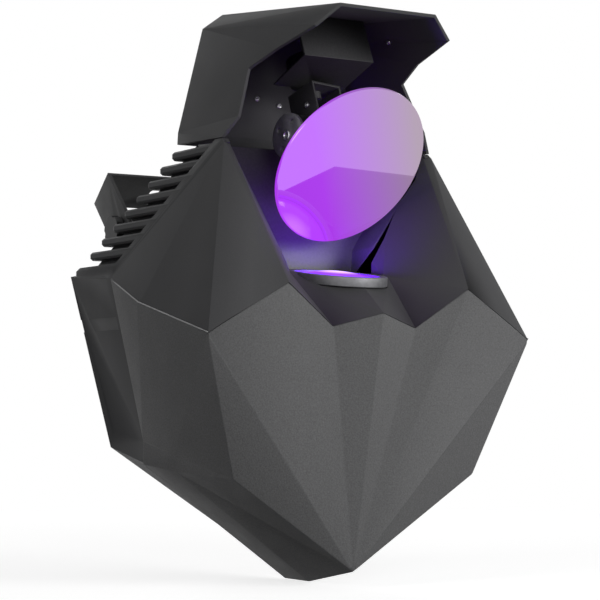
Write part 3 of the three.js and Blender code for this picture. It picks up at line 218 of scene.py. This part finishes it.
def ramp(tree, value, low, high, start=0.3, end=0.7):
    """Turns a value into a colour between two colours."""
    node = tree.nodes.new("ShaderNodeValToRGB")
    node.color_ramp.elements[0].position = start
    node.color_ramp.elements[0].color = (*low, 1)
    node.color_ramp.elements[1].position = end
    node.color_ramp.elements[1].color = (*high, 1)
    tree.links.new(value, node.inputs["Fac"])
    return node.outputs["Color"]


def spread(tree, value, low, high):
    """Maps a value from 0..1 to a range."""
    node = tree.nodes.new("ShaderNodeMapRange")
    node.inputs["To Min"].default_value = low
    node.inputs["To Max"].default_value = high
    tree.links.new(value, node.inputs["Value"])
    return node.outputs["Result"]


def bump(tree, shader, value, strength, depth):
    node = tree.nodes.new("ShaderNodeBump")
    node.inputs["Strength"].default_value = strength
    node.inputs["Distance"].default_value = depth
    tree.links.new(value, node.inputs["Height"])
    tree.links.new(node.outputs["Normal"], shader.inputs["Normal"])


def mottled(tree, shader, base, value, share):
    """Varies the colour a little around its base."""
    low = tuple(c * (1 - share) for c in base)
    high = tuple(min(1, c * (1 + share)) for c in base)
    tree.links.new(ramp(tree, value, low, high), shader.inputs["Base Color"])


def textured_plastic():
    """Moulded plastic with a fine leather grain."""
    base = tuple(colours().cover)
    made, tree, shader = new_material("leather_grained_plastic", base, 0.5, shine=0.15)
    mottled(tree, shader, base, grain(tree, 900, 3), 0.16)
    tree.links.new(spread(tree, grain(tree, 60), 0.58, 0.72), shader.inputs["Roughness"])
    bump(tree, shader, cells(tree, 820), 0.45, 0.00025)
    return made


def smooth_plastic():
    """Moulded plastic with a spark finish so fine that it looks smooth."""
    base = tuple(colours().shell)
    made, tree, shader = new_material("spark_finished_plastic", base, 0.42, shine=0.15)
    mottled(tree, shader, base, grain(tree, 1500), 0.07)
    tree.links.new(spread(tree, grain(tree, 35), 0.6, 0.7), shader.inputs["Roughness"])
    bump(tree, shader, grain(tree, 2600), 0.12, 0.0001)
    return made


def black_steel():
    """Powder coated sheet steel."""
    base = tuple(colours().steel)
    made, tree, shader = new_material("powder_coated_steel", base, 0.45, shine=0.25)
    mottled(tree, shader, base, grain(tree, 700), 0.15)
    tree.links.new(spread(tree, grain(tree, 90), 0.5, 0.62), shader.inputs["Roughness"])
    bump(tree, shader, grain(tree, 1100), 0.25, 0.00015)
    return made


def well_lining():
    """Satin grey sheet of the mirror's well."""
    base = tuple(colours().lining)
    made, tree, shader = new_material("well_lining", base, 0.4, shine=0.25)
    mottled(tree, shader, base, grain(tree, 500), 0.1)
    bump(tree, shader, grain(tree, 1100), 0.15, 0.0001)
    return made


def black_plastic():
    """Plain black plastic."""
    base = tuple(colours().plastic)
    made, tree, shader = new_material("plain_black_plastic", base, 0.5, shine=0.3)
    mottled(tree, shader, base, grain(tree, 900), 0.2)
    bump(tree, shader, grain(tree, 1800), 0.2, 0.0001)
    return made


def zinc_steel():
    """Zinc plated steel with faint drawing lines."""
    base = tuple(colours().zinc)
    made, tree, shader = new_material("zinc_plated_steel", base, 0.3, 1.0)
    mottled(tree, shader, base, grain(tree, 120), 0.05)
    tree.links.new(spread(tree, grain(tree, 260, 1, (0.1, 1, 1)), 0.3, 0.4), shader.inputs["Roughness"])
    return made


def bare_aluminium():
    """Extruded aluminium with drawing lines."""
    base = tuple(colours().aluminium)
    made, tree, shader = new_material("extruded_aluminium", base, 0.4, 1.0)
    mottled(tree, shader, base, grain(tree, 250), 0.1)
    bump(tree, shader, grain(tree, 900, 2, (0.05, 1, 1)), 0.2, 0.0001)
    return made


def circuit_board():
    """Green board with copper runs under the mask."""
    base = tuple(colours().board)
    made, tree, shader = new_material("green_circuit_board", base, 0.4)
    mottled(tree, shader, base, cells(tree, 220), 0.5)
    return made


def painted_motor():
    """Black motor can, a little glossier than the sheet steel."""
    made, tree, shader = new_material("motor_black", tuple(colours().motor), 0.35, 0.2)
    tree.links.new(spread(tree, grain(tree, 400), 0.28, 0.45), shader.inputs["Roughness"])
    return made


def end_disc():
    """Dull silver grey of the motor's end plate and of the ring round the lens."""
    base = tuple(colours().end_disc)
    made, tree, shader = new_material("motor_end_disc", base, 0.45, 0.35)
    mottled(tree, shader, base, grain(tree, 300), 0.12)
    bump(tree, shader, grain(tree, 900), 0.15, 0.0001)
    return made


def lip_painted_highlight():
    """Painted highlight along the cover's seam: a pale finish, paler than the faces beside it, standing in
    for the light that the moulding's edge catches.
    """
    base = tuple(colours().lip)
    made, tree, shader = new_material("worn_moulding", base, 0.45)
    mottled(tree, shader, base, grain(tree, 300), 0.1)
    return made


def smoked_window():
    """Dark acrylic over the display."""
    made, tree, shader = new_material("smoked_window", tuple(colours().window), 0.08)
    tree.links.new(spread(tree, grain(tree, 50), 0.05, 0.12), shader.inputs["Roughness"])
    shader.inputs["Coat Weight"].default_value = 0.5
    return made


def across_mirror(tree, direction):
    """A value from 0 to 1 across the mirror, along a direction in its plane."""
    nodes, links = tree.nodes, tree.links
    place = nodes.new("ShaderNodeTexCoord")
    centre = nodes.new("ShaderNodeVectorMath")
    centre.operation = "SUBTRACT"
    centre.inputs[1].default_value = MIRROR_PLACE @ Vector((0, -sizes().mirror_reach, 0))
    along = nodes.new("ShaderNodeVectorMath")
    along.operation = "DOT_PRODUCT"
    along.inputs[1].default_value = (MIRROR_PLACE.to_3x3() @ Vector(direction)).normalized()
    links.new(place.outputs["Object"], centre.inputs[0])
    links.new(centre.outputs["Vector"], along.inputs[0])
    node = nodes.new("ShaderNodeMapRange")
    node.inputs["From Min"].default_value = -sizes().mirror_radius
    node.inputs["From Max"].default_value = sizes().mirror_radius
    links.new(along.outputs["Value"], node.inputs["Value"])
    return node.outputs["Result"]


def silvered_glass():
    """Front-silvered mirror with a painted violet glow in its emission, stronger where the beam strikes it,
    standing in for the light that falls on it.
    """
    made, tree, shader = new_material("silvered_glass", tuple(colours().silver), 0.03, 1.0)
    share = across_mirror(tree, (1, 0, 0.75))
    # Painted glow: emission across the mirror, violet where the beam strikes it and greyer on its far side.
    painted_mirror_glow = ramp(tree, share, tuple(colours().painted_glow_low), tuple(colours().painted_glow_high), 0.3, 0.95)
    tree.links.new(painted_mirror_glow, shader.inputs["Emission Color"])
    shader.inputs["Emission Strength"].default_value = 0.85
    return made


def lit_lens():
    """Clear lens, lit from below: white hot at its heart, deep violet at its rim."""
    glow = tuple(colours().glow)
    heart = tuple(colours().glow_heart)
    made, tree, shader = new_material("lit_lens", tuple(colours().lens_body), 0.08)
    nodes, links = tree.nodes, tree.links
    place = nodes.new("ShaderNodeTexCoord")
    apart = nodes.new("ShaderNodeVectorMath")
    apart.operation = "DISTANCE"
    apart.inputs[1].default_value = LENS_CENTRE
    links.new(place.outputs["Object"], apart.inputs[0])
    near = nodes.new("ShaderNodeMapRange")
    near.inputs["From Max"].default_value = sizes().lens_radius
    links.new(apart.outputs["Value"], near.inputs["Value"])
    links.new(ramp(tree, near.outputs["Result"], heart, glow, 0.1, 0.6), shader.inputs["Emission Color"])
    links.new(by_ray(tree, LENS_SEEN, LENS_LIT), shader.inputs["Emission Strength"])
    return made


MATERIAL_MAKERS = {
    "textured_plastic": textured_plastic,
    "smooth_plastic": smooth_plastic,
    "black_steel": black_steel,
    "well_lining": well_lining,
    "black_plastic": black_plastic,
    "zinc_steel": zinc_steel,
    "aluminium": bare_aluminium,
    "circuit_board": circuit_board,
    "motor_black": painted_motor,
    "end_disc": end_disc,
    "lip_painted_highlight": lip_painted_highlight,
    "smoked_window": smoked_window,
    "mirror_glass": silvered_glass,
    "lit_lens": lit_lens,
}
made_finishes = {}


def material(name):
    """Each finish is made once, when the first piece asks for it."""
    if name not in made_finishes:
        made_finishes[name] = MATERIAL_MAKERS[name]()
    return made_finishes[name]


def pick(piece):
    """Makes one piece the only one selected, and the active one."""
    bpy.ops.object.select_all(action="DESELECT")
    piece.select_set(True)
    bpy.context.view_layer.objects.active = piece


def edit(piece):
    pick(piece)
    bpy.ops.object.mode_set(mode="EDIT")
    bpy.ops.mesh.select_all(action="SELECT")


def leave_edit():
    bpy.ops.object.mode_set(mode="OBJECT")


def select_where(piece, kind, test):
    """In edit mode: selects the vertices, edges or faces that pass a test in the mesh."""
    bpy.ops.mesh.select_all(action="DESELECT")
    bpy.ops.mesh.select_mode(type={"vertices": "VERT", "edges": "EDGE", "polygons": "FACE"}[kind])
    leave_edit()
    for item in getattr(piece.data, kind):
        item.select = test(item)
    bpy.ops.object.mode_set(mode="EDIT")


def new_piece(name):
    piece = bpy.context.active_object
    piece.name = name
    piece.data.name = name
    return piece


def bevel(piece, width, segments=2, angle=20):
    pick(piece)
    made = piece.modifiers.new("edge", "BEVEL")
    made.width = width
    made.segments = segments
    made.limit_method = "ANGLE"
    made.angle_limit = math.radians(angle)
    bpy.ops.object.modifier_apply(modifier=made.name)


def smooth(piece, angle=30):
    pick(piece)
    bpy.ops.object.shade_smooth_by_angle(angle=math.radians(angle))


def finish_piece(piece, body, finish, nodes=(), place=None):
    """Settles a piece in the model's frame and ties it to its body and its nodes."""
    pick(piece)
    if place is not None:
        piece.matrix_world = place @ piece.matrix_world
    bpy.ops.object.transform_apply(location=True, rotation=True, scale=True)
    piece.data.materials.clear()
    piece.data.materials.append(material(finish))
    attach(piece, body)
    if nodes:
        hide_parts(*nodes)
    return piece


def body_of_node(node):
    return frame["nodes"][node]["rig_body"]


def dressed(node, width, finish, segments=2, angle=20, smooth_angle=30):
    """A merged copy of a CAD solid with its edges rounded, standing for that solid."""
    source = frame["nodes"][node]
    piece = bpy.data.objects.new(f"{node}_dressed", source.data.copy())
    bpy.context.scene.collection.objects.link(piece)
    edit(piece)
    bpy.ops.mesh.remove_doubles(threshold=MERGE)
    bpy.ops.mesh.dissolve_limited(angle_limit=FLAT)
    leave_edit()
    if width:
        bevel(piece, width, segments, angle)
    smooth(piece, smooth_angle)
    return finish_piece(piece, body_of_node(node), finish, [node])


class SCANNER_OT_shells(bpy.types.Operator):
    """Round the creases of the front cover, the upper shell and the hood, and smooth the rear shell"""

    bl_idname = "scanner.shells"
    bl_label = "Moulded shells"

    def execute(self, context):
        dressed("front_cover", sizes().cover_edge, "textured_plastic", angle=4)
        dressed("upper_shell", sizes().shell_edge, "smooth_plastic", angle=4)
        dressed("hood", sizes().shell_edge, "smooth_plastic", angle=4)
        dressed("rear_shell", 0, "smooth_plastic")
        return {"FINISHED"}


SHEET_NODES = {
    "well_tray": "well_lining",
    "motor_shelf": "black_steel",
    "pan_yoke": "black_steel",
    "rear_box": "black_steel",
    "bracket": "black_steel",
}


class SCANNER_OT_sheets(bpy.types.Operator):
    """Round the edges of the folded sheet parts"""

    bl_idname = "scanner.sheets"
    bl_label = "Folded sheets"

    def execute(self, context):
        for node, finish in SHEET_NODES.items():
            dressed(node, sizes().sheet_edge, finish)
        return {"FINISHED"}


ROUND_NODES = {
    "mirror_arm": ("black_plastic", "black_plastic"),
    "pan_motor": ("motor_black", "black_steel"),
    "tilt_motor": ("motor_black", "black_steel"),
    "tilt_pin": ("zinc_steel", "zinc_steel"),
    "lens_barrel": ("black_plastic", "black_plastic"),
    "gobo_wheel": ("zinc_steel", "zinc_steel"),
    "colour_wheel": ("zinc_steel", "zinc_steel"),
    "gobo_motor": ("motor_black", "black_steel"),
    "colour_motor": ("motor_black", "black_steel"),
    "condenser_lens": ("lit_lens", "lens_glass"),
    "condenser_holder": ("black_plastic", "black_plastic"),
    "lamp_fan_frame": ("black_plastic", "black_plastic"),
    "lamp_fan_rotor": ("black_plastic", "black_plastic"),
    "rear_fan_frame": ("black_plastic", "black_plastic"),
    "rear_fan_rotor": ("black_plastic", "black_plastic"),
    "data_in": ("zinc_steel", "zinc_steel"),
    "data_out": ("zinc_steel", "zinc_steel"),
    "fuse_holder": ("black_plastic", "black_plastic"),
    "safety_eye": ("zinc_steel", "zinc_steel"),
    "pivot_stud_left": ("zinc_steel", "zinc_steel"),
    "pivot_stud_right": ("zinc_steel", "zinc_steel"),
    "washer_left": ("zinc_steel", "zinc_steel"),
    "washer_right": ("zinc_steel", "zinc_steel"),
    "knob_left": ("black_plastic", "black_plastic"),
    "knob_right": ("black_plastic", "black_plastic"),
    "led_module": ("aluminium", "aluminium"),
    "button_1": ("black_plastic", "black_plastic"),
    "button_2": ("black_plastic", "black_plastic"),
    "button_3": ("black_plastic", "black_plastic"),
    "button_4": ("black_plastic", "black_plastic"),
}


class SCANNER_OT_round_parts(bpy.types.Operator):
    """Smooth the turned and moulded round parts"""

    bl_idname = "scanner.round_parts"
    bl_label = "Round parts"

    def execute(self, context):
        for node, (finish, slot) in ROUND_NODES.items():
            dressed(node, 0, finish, smooth_angle=35)
        return {"FINISHED"}


PLAIN_NODES = {
    "optics_frame": "black_steel",
    "frame_plate": "black_steel",
    "rear_panel": "black_steel",
    "display_window": "smoked_window",
    "control_board": "circuit_board",
    "power_in": "black_plastic",
    "power_out": "black_plastic",
    "power_supply": "zinc_steel",
    "heat_sink": "aluminium",
}


class SCANNER_OT_plain_parts(bpy.types.Operator):
    """Give the flat-sided inner and rear parts their finishes"""

    bl_idname = "scanner.plain_parts"
    bl_label = "Plain parts"

    def execute(self, context):
        for node, finish in PLAIN_NODES.items():
            data = frame["nodes"][node].data
            data.materials.clear()
            data.materials.append(material(finish))
        return {"FINISHED"}


class SCANNER_OT_mirror(bpy.types.Operator):
    """Model the round mirror with its ground edge"""

    bl_idname = "scanner.mirror"
    bl_label = "Mirror"

    def execute(self, context):
        s = sizes()
        middle = s.mirror_thickness / 2 - s.mirror_reach
        bpy.ops.object.select_all(action="DESELECT")
        bpy.ops.mesh.primitive_cylinder_add(
            vertices=160, radius=s.mirror_radius, depth=s.mirror_thickness,
            location=(0, middle, 0), rotation=(math.pi / 2, 0, 0),
        )
        piece = new_piece("mirror_glass")
        bevel(piece, s.mirror_thickness * 0.2, 2, 60)
        edit(piece)
        select_where(piece, "polygons", lambda face: abs(face.normal.z) > 0.99 and face.area > 0.001)
        bpy.ops.mesh.inset(thickness=s.mirror_thickness * 0.3, depth=0)
        leave_edit()
        smooth(piece, 30)
        finish_piece(piece, "mirror_head", "mirror_glass", ["mirror"], MIRROR_PLACE)
        return {"FINISHED"}


def spun(name, profile, steps=96):
    """A turned piece round Z: a closed profile of (radius, height), spun a full turn."""
    mesh = bpy.data.meshes.new(name)
    count = len(profile)
    mesh.from_pydata([(r, 0, z) for r, z in profile], [(i, (i + 1) % count) for i in range(count)], [])
    piece = bpy.data.objects.new(name, mesh)
    bpy.context.scene.collection.objects.link(piece)
    edit(piece)
    bpy.ops.mesh.spin(steps=steps, angle=math.tau, center=(0, 0, 0), axis=(0, 0, 1))
    bpy.ops.mesh.select_all(action="SELECT")
    bpy.ops.mesh.remove_doubles(threshold=MERGE)
    bpy.ops.mesh.normals_make_consistent(inside=False)
    leave_edit()
    return piece


class SCANNER_OT_lens(bpy.types.Operator):
    """Spin the domed front lens"""

    bl_idname = "scanner.lens"
    bl_label = "Lens"

    def execute(self, context):
        s = sizes()
        ball = (s.lens_radius**2 + s.lens_crown**2) / (2 * s.lens_crown)
        reach = math.asin(s.lens_radius / ball)
        low, rim = s.lens_ledge, s.lens_ledge + s.lens_edge
        steps = 14
        dome = []
        for i in range(steps + 1):
            angle = reach * (1 - i / steps)
            dome.append((ball * math.sin(angle), rim + ball * (math.cos(angle) - math.cos(reach))))
        dome[-1] = (0.0, dome[-1][1])
        piece = spun("front_lens", [(0.0, low), (s.lens_radius, low), *dome])
        smooth(piece, 40)
        finish_piece(piece, "housing", "lit_lens", ["lens"], BEAM_PLACE)
        return {"FINISHED"}


class SCANNER_OT_lens_ring(bpy.types.Operator):
    """Spin the ring round the lens, with its rounded lip"""

    bl_idname = "scanner.lens_ring"
    bl_label = "Lens ring"

    def execute(self, context):
        s = sizes()
        base = 0.0003
        step = s.ring_height * 0.25
        profile = [
            (s.ring_bore, base), (s.ring_radius, base), (s.ring_radius, s.ring_height),
            (s.ring_bore - base, s.ring_height), (s.ring_bore, s.ring_height - step),
        ]
        piece = spun("front_lens_ring", profile, 120)
        bevel(piece, s.sheet_edge * 2, 3, 25)
        smooth(piece, 30)
        finish_piece(piece, "housing", "end_disc", ["lens_ring"], BEAM_PLACE)
        return {"FINISHED"}


CAP_HOLES = 4
CAP_HOLE_DEPTH = 0.004
BUSH_PROFILE = (
    (0.0016, 0.0), (0.0040, 0.0), (0.0040, 0.0010), (0.0034, 0.0014),
    (0.0024, 0.0014), (0.0020, 0.0008), (0.0016, 0.0008),
)


class SCANNER_OT_motor_cap(bpy.types.Operator):
    """Model the tilt motor's bright end cap with its holes and bush"""

    bl_idname = "scanner.motor_cap"
    bl_label = "Motor end cap"

    def execute(self, context):
        s = sizes()
        face = -s.cap_reach
        outer = face - s.cap_thickness
        bpy.ops.object.select_all(action="DESELECT")
        bpy.ops.mesh.primitive_cylinder_add(
            vertices=96, radius=s.motor_radius, depth=s.cap_thickness,
            location=(face - s.cap_thickness / 2, 0, 0), rotation=(0, math.pi / 2, 0),
        )
        piece = new_piece("tilt_motor_end")
        for i in range(CAP_HOLES):
            angle = (i + 0.5) / CAP_HOLES * math.tau
            bpy.ops.object.select_all(action="DESELECT")
            bpy.ops.mesh.primitive_cylinder_add(
                vertices=24, radius=s.cap_hole_radius, depth=CAP_HOLE_DEPTH, rotation=(0, math.pi / 2, 0),
                location=(outer, s.cap_hole_circle * math.cos(angle), s.cap_hole_circle * math.sin(angle)),
            )
            cutter = new_piece("cutter")
            pick(piece)
            cut = piece.modifiers.new("hole", "BOOLEAN")
            cut.operation = "DIFFERENCE"
            cut.solver = "EXACT"
            cut.object = cutter
            bpy.ops.object.modifier_apply(modifier=cut.name)
            bpy.data.objects.remove(cutter)
        bevel(piece, s.cap_edge, 2, 40)
        smooth(piece, 30)
        finish_piece(piece, "pan_head", "end_disc", ["tilt_motor_cap"], HEAD_PLACE)
        bush = spun("tilt_motor_bush", BUSH_PROFILE, 48)
        turn = Matrix.Translation((outer, 0, 0)) @ Matrix.Rotation(-math.pi / 2, 4, "Y")
        smooth(bush, 30)
        finish_piece(bush, "pan_head", "zinc_steel", (), HEAD_PLACE @ turn)
        return {"FINISHED"}


SEAM_LIP = ((0.1454, -0.2625, -0.1298), (0.1454, -0.1544, -0.1036), (0.1438, -0.1082, -0.0850))


class SCANNER_OT_seam_lip(bpy.types.Operator):
    """Run a thin moulded lip along the cover's upper edge, on both sides"""

    bl_idname = "scanner.seam_lip"
    bl_label = "Seam lip"

    def execute(self, context):
        for side, sign in (("left", -1), ("right", 1)):
            path = bpy.data.curves.new(f"seam_lip_{side}", "CURVE")
            path.dimensions = "3D"
            path.bevel_depth = sizes().lip_radius
            path.bevel_resolution = 2
            path.use_fill_caps = True
            spline = path.splines.new("POLY")
            spline.points.add(len(SEAM_LIP) - 1)
            for point, (x, y, z) in zip(spline.points, SEAM_LIP):
                point.co = (sign * x, y, z, 1)
            lip = bpy.data.objects.new(path.name, path)
            context.scene.collection.objects.link(lip)
            pick(lip)
            bpy.ops.object.convert(target="MESH")
            edit(lip)
            bpy.ops.mesh.remove_doubles(threshold=MERGE)
            bpy.ops.mesh.normals_make_consistent(inside=False)
            leave_edit()
            smooth(lip, 40)
            # The lip gets a pale finish that is a painted highlight along the seam.
            finish_piece(lip, "housing", "lip_painted_highlight")
        return {"FINISHED"}


SCREWS = (
    ("housing", (-0.0164, -0.1146, 0.0677), (0, -0.986, 0.168)),
    ("housing", (0.0042, -0.1154, 0.0633), (0, -0.986, 0.168)),
    ("housing", (0.0583, -0.1958, 0.1089), (-0.577, 0.111, -0.809)),
    ("pan_head", (-0.0141, -0.1876, 0.0534), (-0.988, -0.147, 0.054)),
)


class SCANNER_OT_screws(bpy.types.Operator):
    """Spin the socket screws inside the hood and on the yoke"""

    bl_idname = "scanner.screws"
    bl_label = "Socket screws"

    def execute(self, context):
        r = sizes().screw_radius
        profile = [
            (0.0, r * 0.15), (r * 0.42, r * 0.15), (r * 0.48, r * 0.55), (r * 0.75, r * 0.52),
            (r * 0.95, r * 0.34), (r, 0.0), (0.0, 0.0),
        ]
        for i, (body, place, facing) in enumerate(SCREWS):
            screw = spun(f"screw_{i + 1}", profile, 32)
            smooth(screw, 35)
            turn = Vector(facing).to_track_quat("Z", "Y").to_matrix().to_4x4()
            finish_piece(screw, body, "zinc_steel", (), Matrix.Translation(place) @ turn)
        return {"FINISHED"}


LENS_SEEN = 2.0
LENS_LIT = 30.0
WORLD_LIT = 0.05
FLOOR_SIZE = 12
FLOOR_GAP = 0.0005
CAMERA_PLACE = Vector((-0.8466, -1.5095, -0.1819))
CAMERA_VIEW = Vector((0.5292, 0.8469, 0.0523))
LAMPS = (
    ("key", (1.2, -2.1, 0.2), (1.0, 0.8), 32),
    ("fill", (-0.6, -2.3, 0.5), (1.0, 1.0), 12),
    ("side", (-2.4, -0.4, 0.8), (1.0, 1.0), 12),
    ("low", (2.3, -0.9, 0.4), (1.0, 1.0), 6),
    ("back", (0.8, 2.4, 0.4), (1.2, 1.2), 30),
)


def lamp(name, place, aim, size, energy):
    bpy.ops.object.light_add(type="AREA", location=place)
    made = bpy.context.active_object
    made.name = name
    made.data.shape = "RECTANGLE"
    made.data.size, made.data.size_y = size
    made.data.energy = energy
    made.rotation_euler = (Vector(aim) - Vector(place)).to_track_quat("-Z", "Y").to_euler()
    return made


def by_ray(tree, seen, lit):
    """One value for the camera and for reflections, another for the light that spreads."""
    path = tree.nodes.new("ShaderNodeLightPath")
    either = tree.nodes.new("ShaderNodeMath")
    either.operation = "MAXIMUM"
    any_of = tree.nodes.new("ShaderNodeMath")
    any_of.operation = "MAXIMUM"
    tree.links.new(path.outputs["Is Camera Ray"], either.inputs[0])
    tree.links.new(path.outputs["Is Glossy Ray"], either.inputs[1])
    tree.links.new(either.outputs[0], any_of.inputs[0])
    tree.links.new(path.outputs["Is Transmission Ray"], any_of.inputs[1])
    node = tree.nodes.new("ShaderNodeMapRange")
    node.inputs["To Min"].default_value = lit
    node.inputs["To Max"].default_value = seen
    tree.links.new(any_of.outputs[0], node.inputs["Value"])
    return node.outputs["Result"]


class SCANNER_OT_stage(bpy.types.Operator):
    """Set up the pale floor, the soft lamps, the world and the camera"""

    bl_idname = "scanner.stage"
    bl_label = "Studio stage"

    def execute(self, context):
        low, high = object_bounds()
        middle = (low + high) / 2
        bpy.ops.object.select_all(action="DESELECT")
        bpy.ops.mesh.primitive_plane_add(size=FLOOR_SIZE, location=(middle.x, middle.y, low.z - FLOOR_GAP))
        floor = new_piece("floor")
        floor.data.materials.append(self.pale_floor(middle))
        floor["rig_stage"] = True
        self.light(context, middle)
        self.camera(context)
        context.scene.view_settings.view_transform = "Standard"
        return {"FINISHED"}

    def pale_floor(self, middle):
        """Shows the shadow near the object and turns white farther off."""
        ground, tree, shader = new_material("pale_floor", (0.7, 0.7, 0.7), 0.9)
        nodes, links = tree.nodes, tree.links
        shader.inputs["Specular IOR Level"].default_value = 0.0
        shader.inputs["Emission Color"].default_value = (1, 1, 1, 1)
        links.new(by_ray(tree, 0.69, 0.0), shader.inputs["Emission Strength"])
        links.new(by_ray(tree, 0.75, 0.08), shader.inputs["Base Color"])
        white = nodes.new("ShaderNodeEmission")
        links.new(by_ray(tree, 1.0, 0.1), white.inputs["Strength"])
        place = nodes.new("ShaderNodeTexCoord")
        apart = nodes.new("ShaderNodeVectorMath")
        apart.operation = "LENGTH"
        far = nodes.new("ShaderNodeMapRange")
        far.inputs["From Min"].default_value = 0.35
        far.inputs["From Max"].default_value = 1.1
        mix = nodes.new("ShaderNodeMixShader")
        links.new(place.outputs["Object"], apart.inputs[0])
        links.new(apart.outputs["Value"], far.inputs["Value"])
        links.new(far.outputs["Result"], mix.inputs["Fac"])
        links.new(shader.outputs["BSDF"], mix.inputs[1])
        links.new(white.outputs["Emission"], mix.inputs[2])
        links.new(mix.outputs["Shader"], nodes["Material Output"].inputs["Surface"])
        return ground

    def light(self, context, middle):
        world = bpy.data.worlds.new("studio")
        context.scene.world = world
        world.use_nodes = True
        back = world.node_tree.nodes["Background"]
        back.inputs["Color"].default_value = (1, 1, 1, 1)
        world.node_tree.links.new(by_ray(world.node_tree, 1.0, WORLD_LIT), back.inputs["Strength"])
        aim = tuple(middle)
        for name, place, size, energy in LAMPS:
            lamp(name, place, aim, size, energy)

    def camera(self, context):
        turn = CAMERA_VIEW.to_track_quat("-Z", "Y").to_euler()
        bpy.ops.object.camera_add(location=CAMERA_PLACE, rotation=turn)
        made = context.active_object
        made.data.lens = 120
        made.data.sensor_width = 36
        made.data.clip_start = 0.05
        context.scene.camera = made


class SCANNER_PT_panel(bpy.types.Panel):
    """Lists the steps that build the light, and the sizes and colours that they use"""

    bl_idname = "SCANNER_PT_panel"
    bl_label = "Scanner light"
    bl_space_type = "VIEW_3D"
    bl_region_type = "UI"
    bl_category = "Scanner"

    def draw(self, context):
        layout = self.layout
        for operator in OPERATORS:
            layout.operator(operator.bl_idname)
        for group in (context.scene.scanner_sizes, context.scene.scanner_colours):
            box = layout.box()
            for name in group.bl_rna.properties.keys():
                if name not in ("rna_type", "name"):
                    box.prop(group, name)


OPERATORS = (
    SCANNER_OT_shells,
    SCANNER_OT_sheets,
    SCANNER_OT_round_parts,
    SCANNER_OT_plain_parts,
    SCANNER_OT_mirror,
    SCANNER_OT_lens,
    SCANNER_OT_lens_ring,
    SCANNER_OT_motor_cap,
    SCANNER_OT_screws,
    SCANNER_OT_seam_lip,
    SCANNER_OT_stage,
)
CLASSES = (ScannerSizes, ScannerColours, *OPERATORS, SCANNER_PT_panel)


def register():
    for made in CLASSES:
        bpy.utils.register_class(made)
    bpy.types.Scene.scanner_sizes = bpy.props.PointerProperty(type=ScannerSizes)
    bpy.types.Scene.scanner_colours = bpy.props.PointerProperty(type=ScannerColours)


def unregister():
    del bpy.types.Scene.scanner_colours
    del bpy.types.Scene.scanner_sizes
    for made in reversed(CLASSES):
        bpy.utils.unregister_class(made)


def main():
    register()
    bpy.ops.scanner.shells()
    bpy.ops.scanner.sheets()
    bpy.ops.scanner.round_parts()
    bpy.ops.scanner.plain_parts()
    bpy.ops.scanner.mirror()
    bpy.ops.scanner.lens()
    bpy.ops.scanner.lens_ring()
    bpy.ops.scanner.motor_cap()
    bpy.ops.scanner.screws()
    bpy.ops.scanner.seam_lip()
    bpy.ops.scanner.stage()


if __name__ == "__main__":
    main()
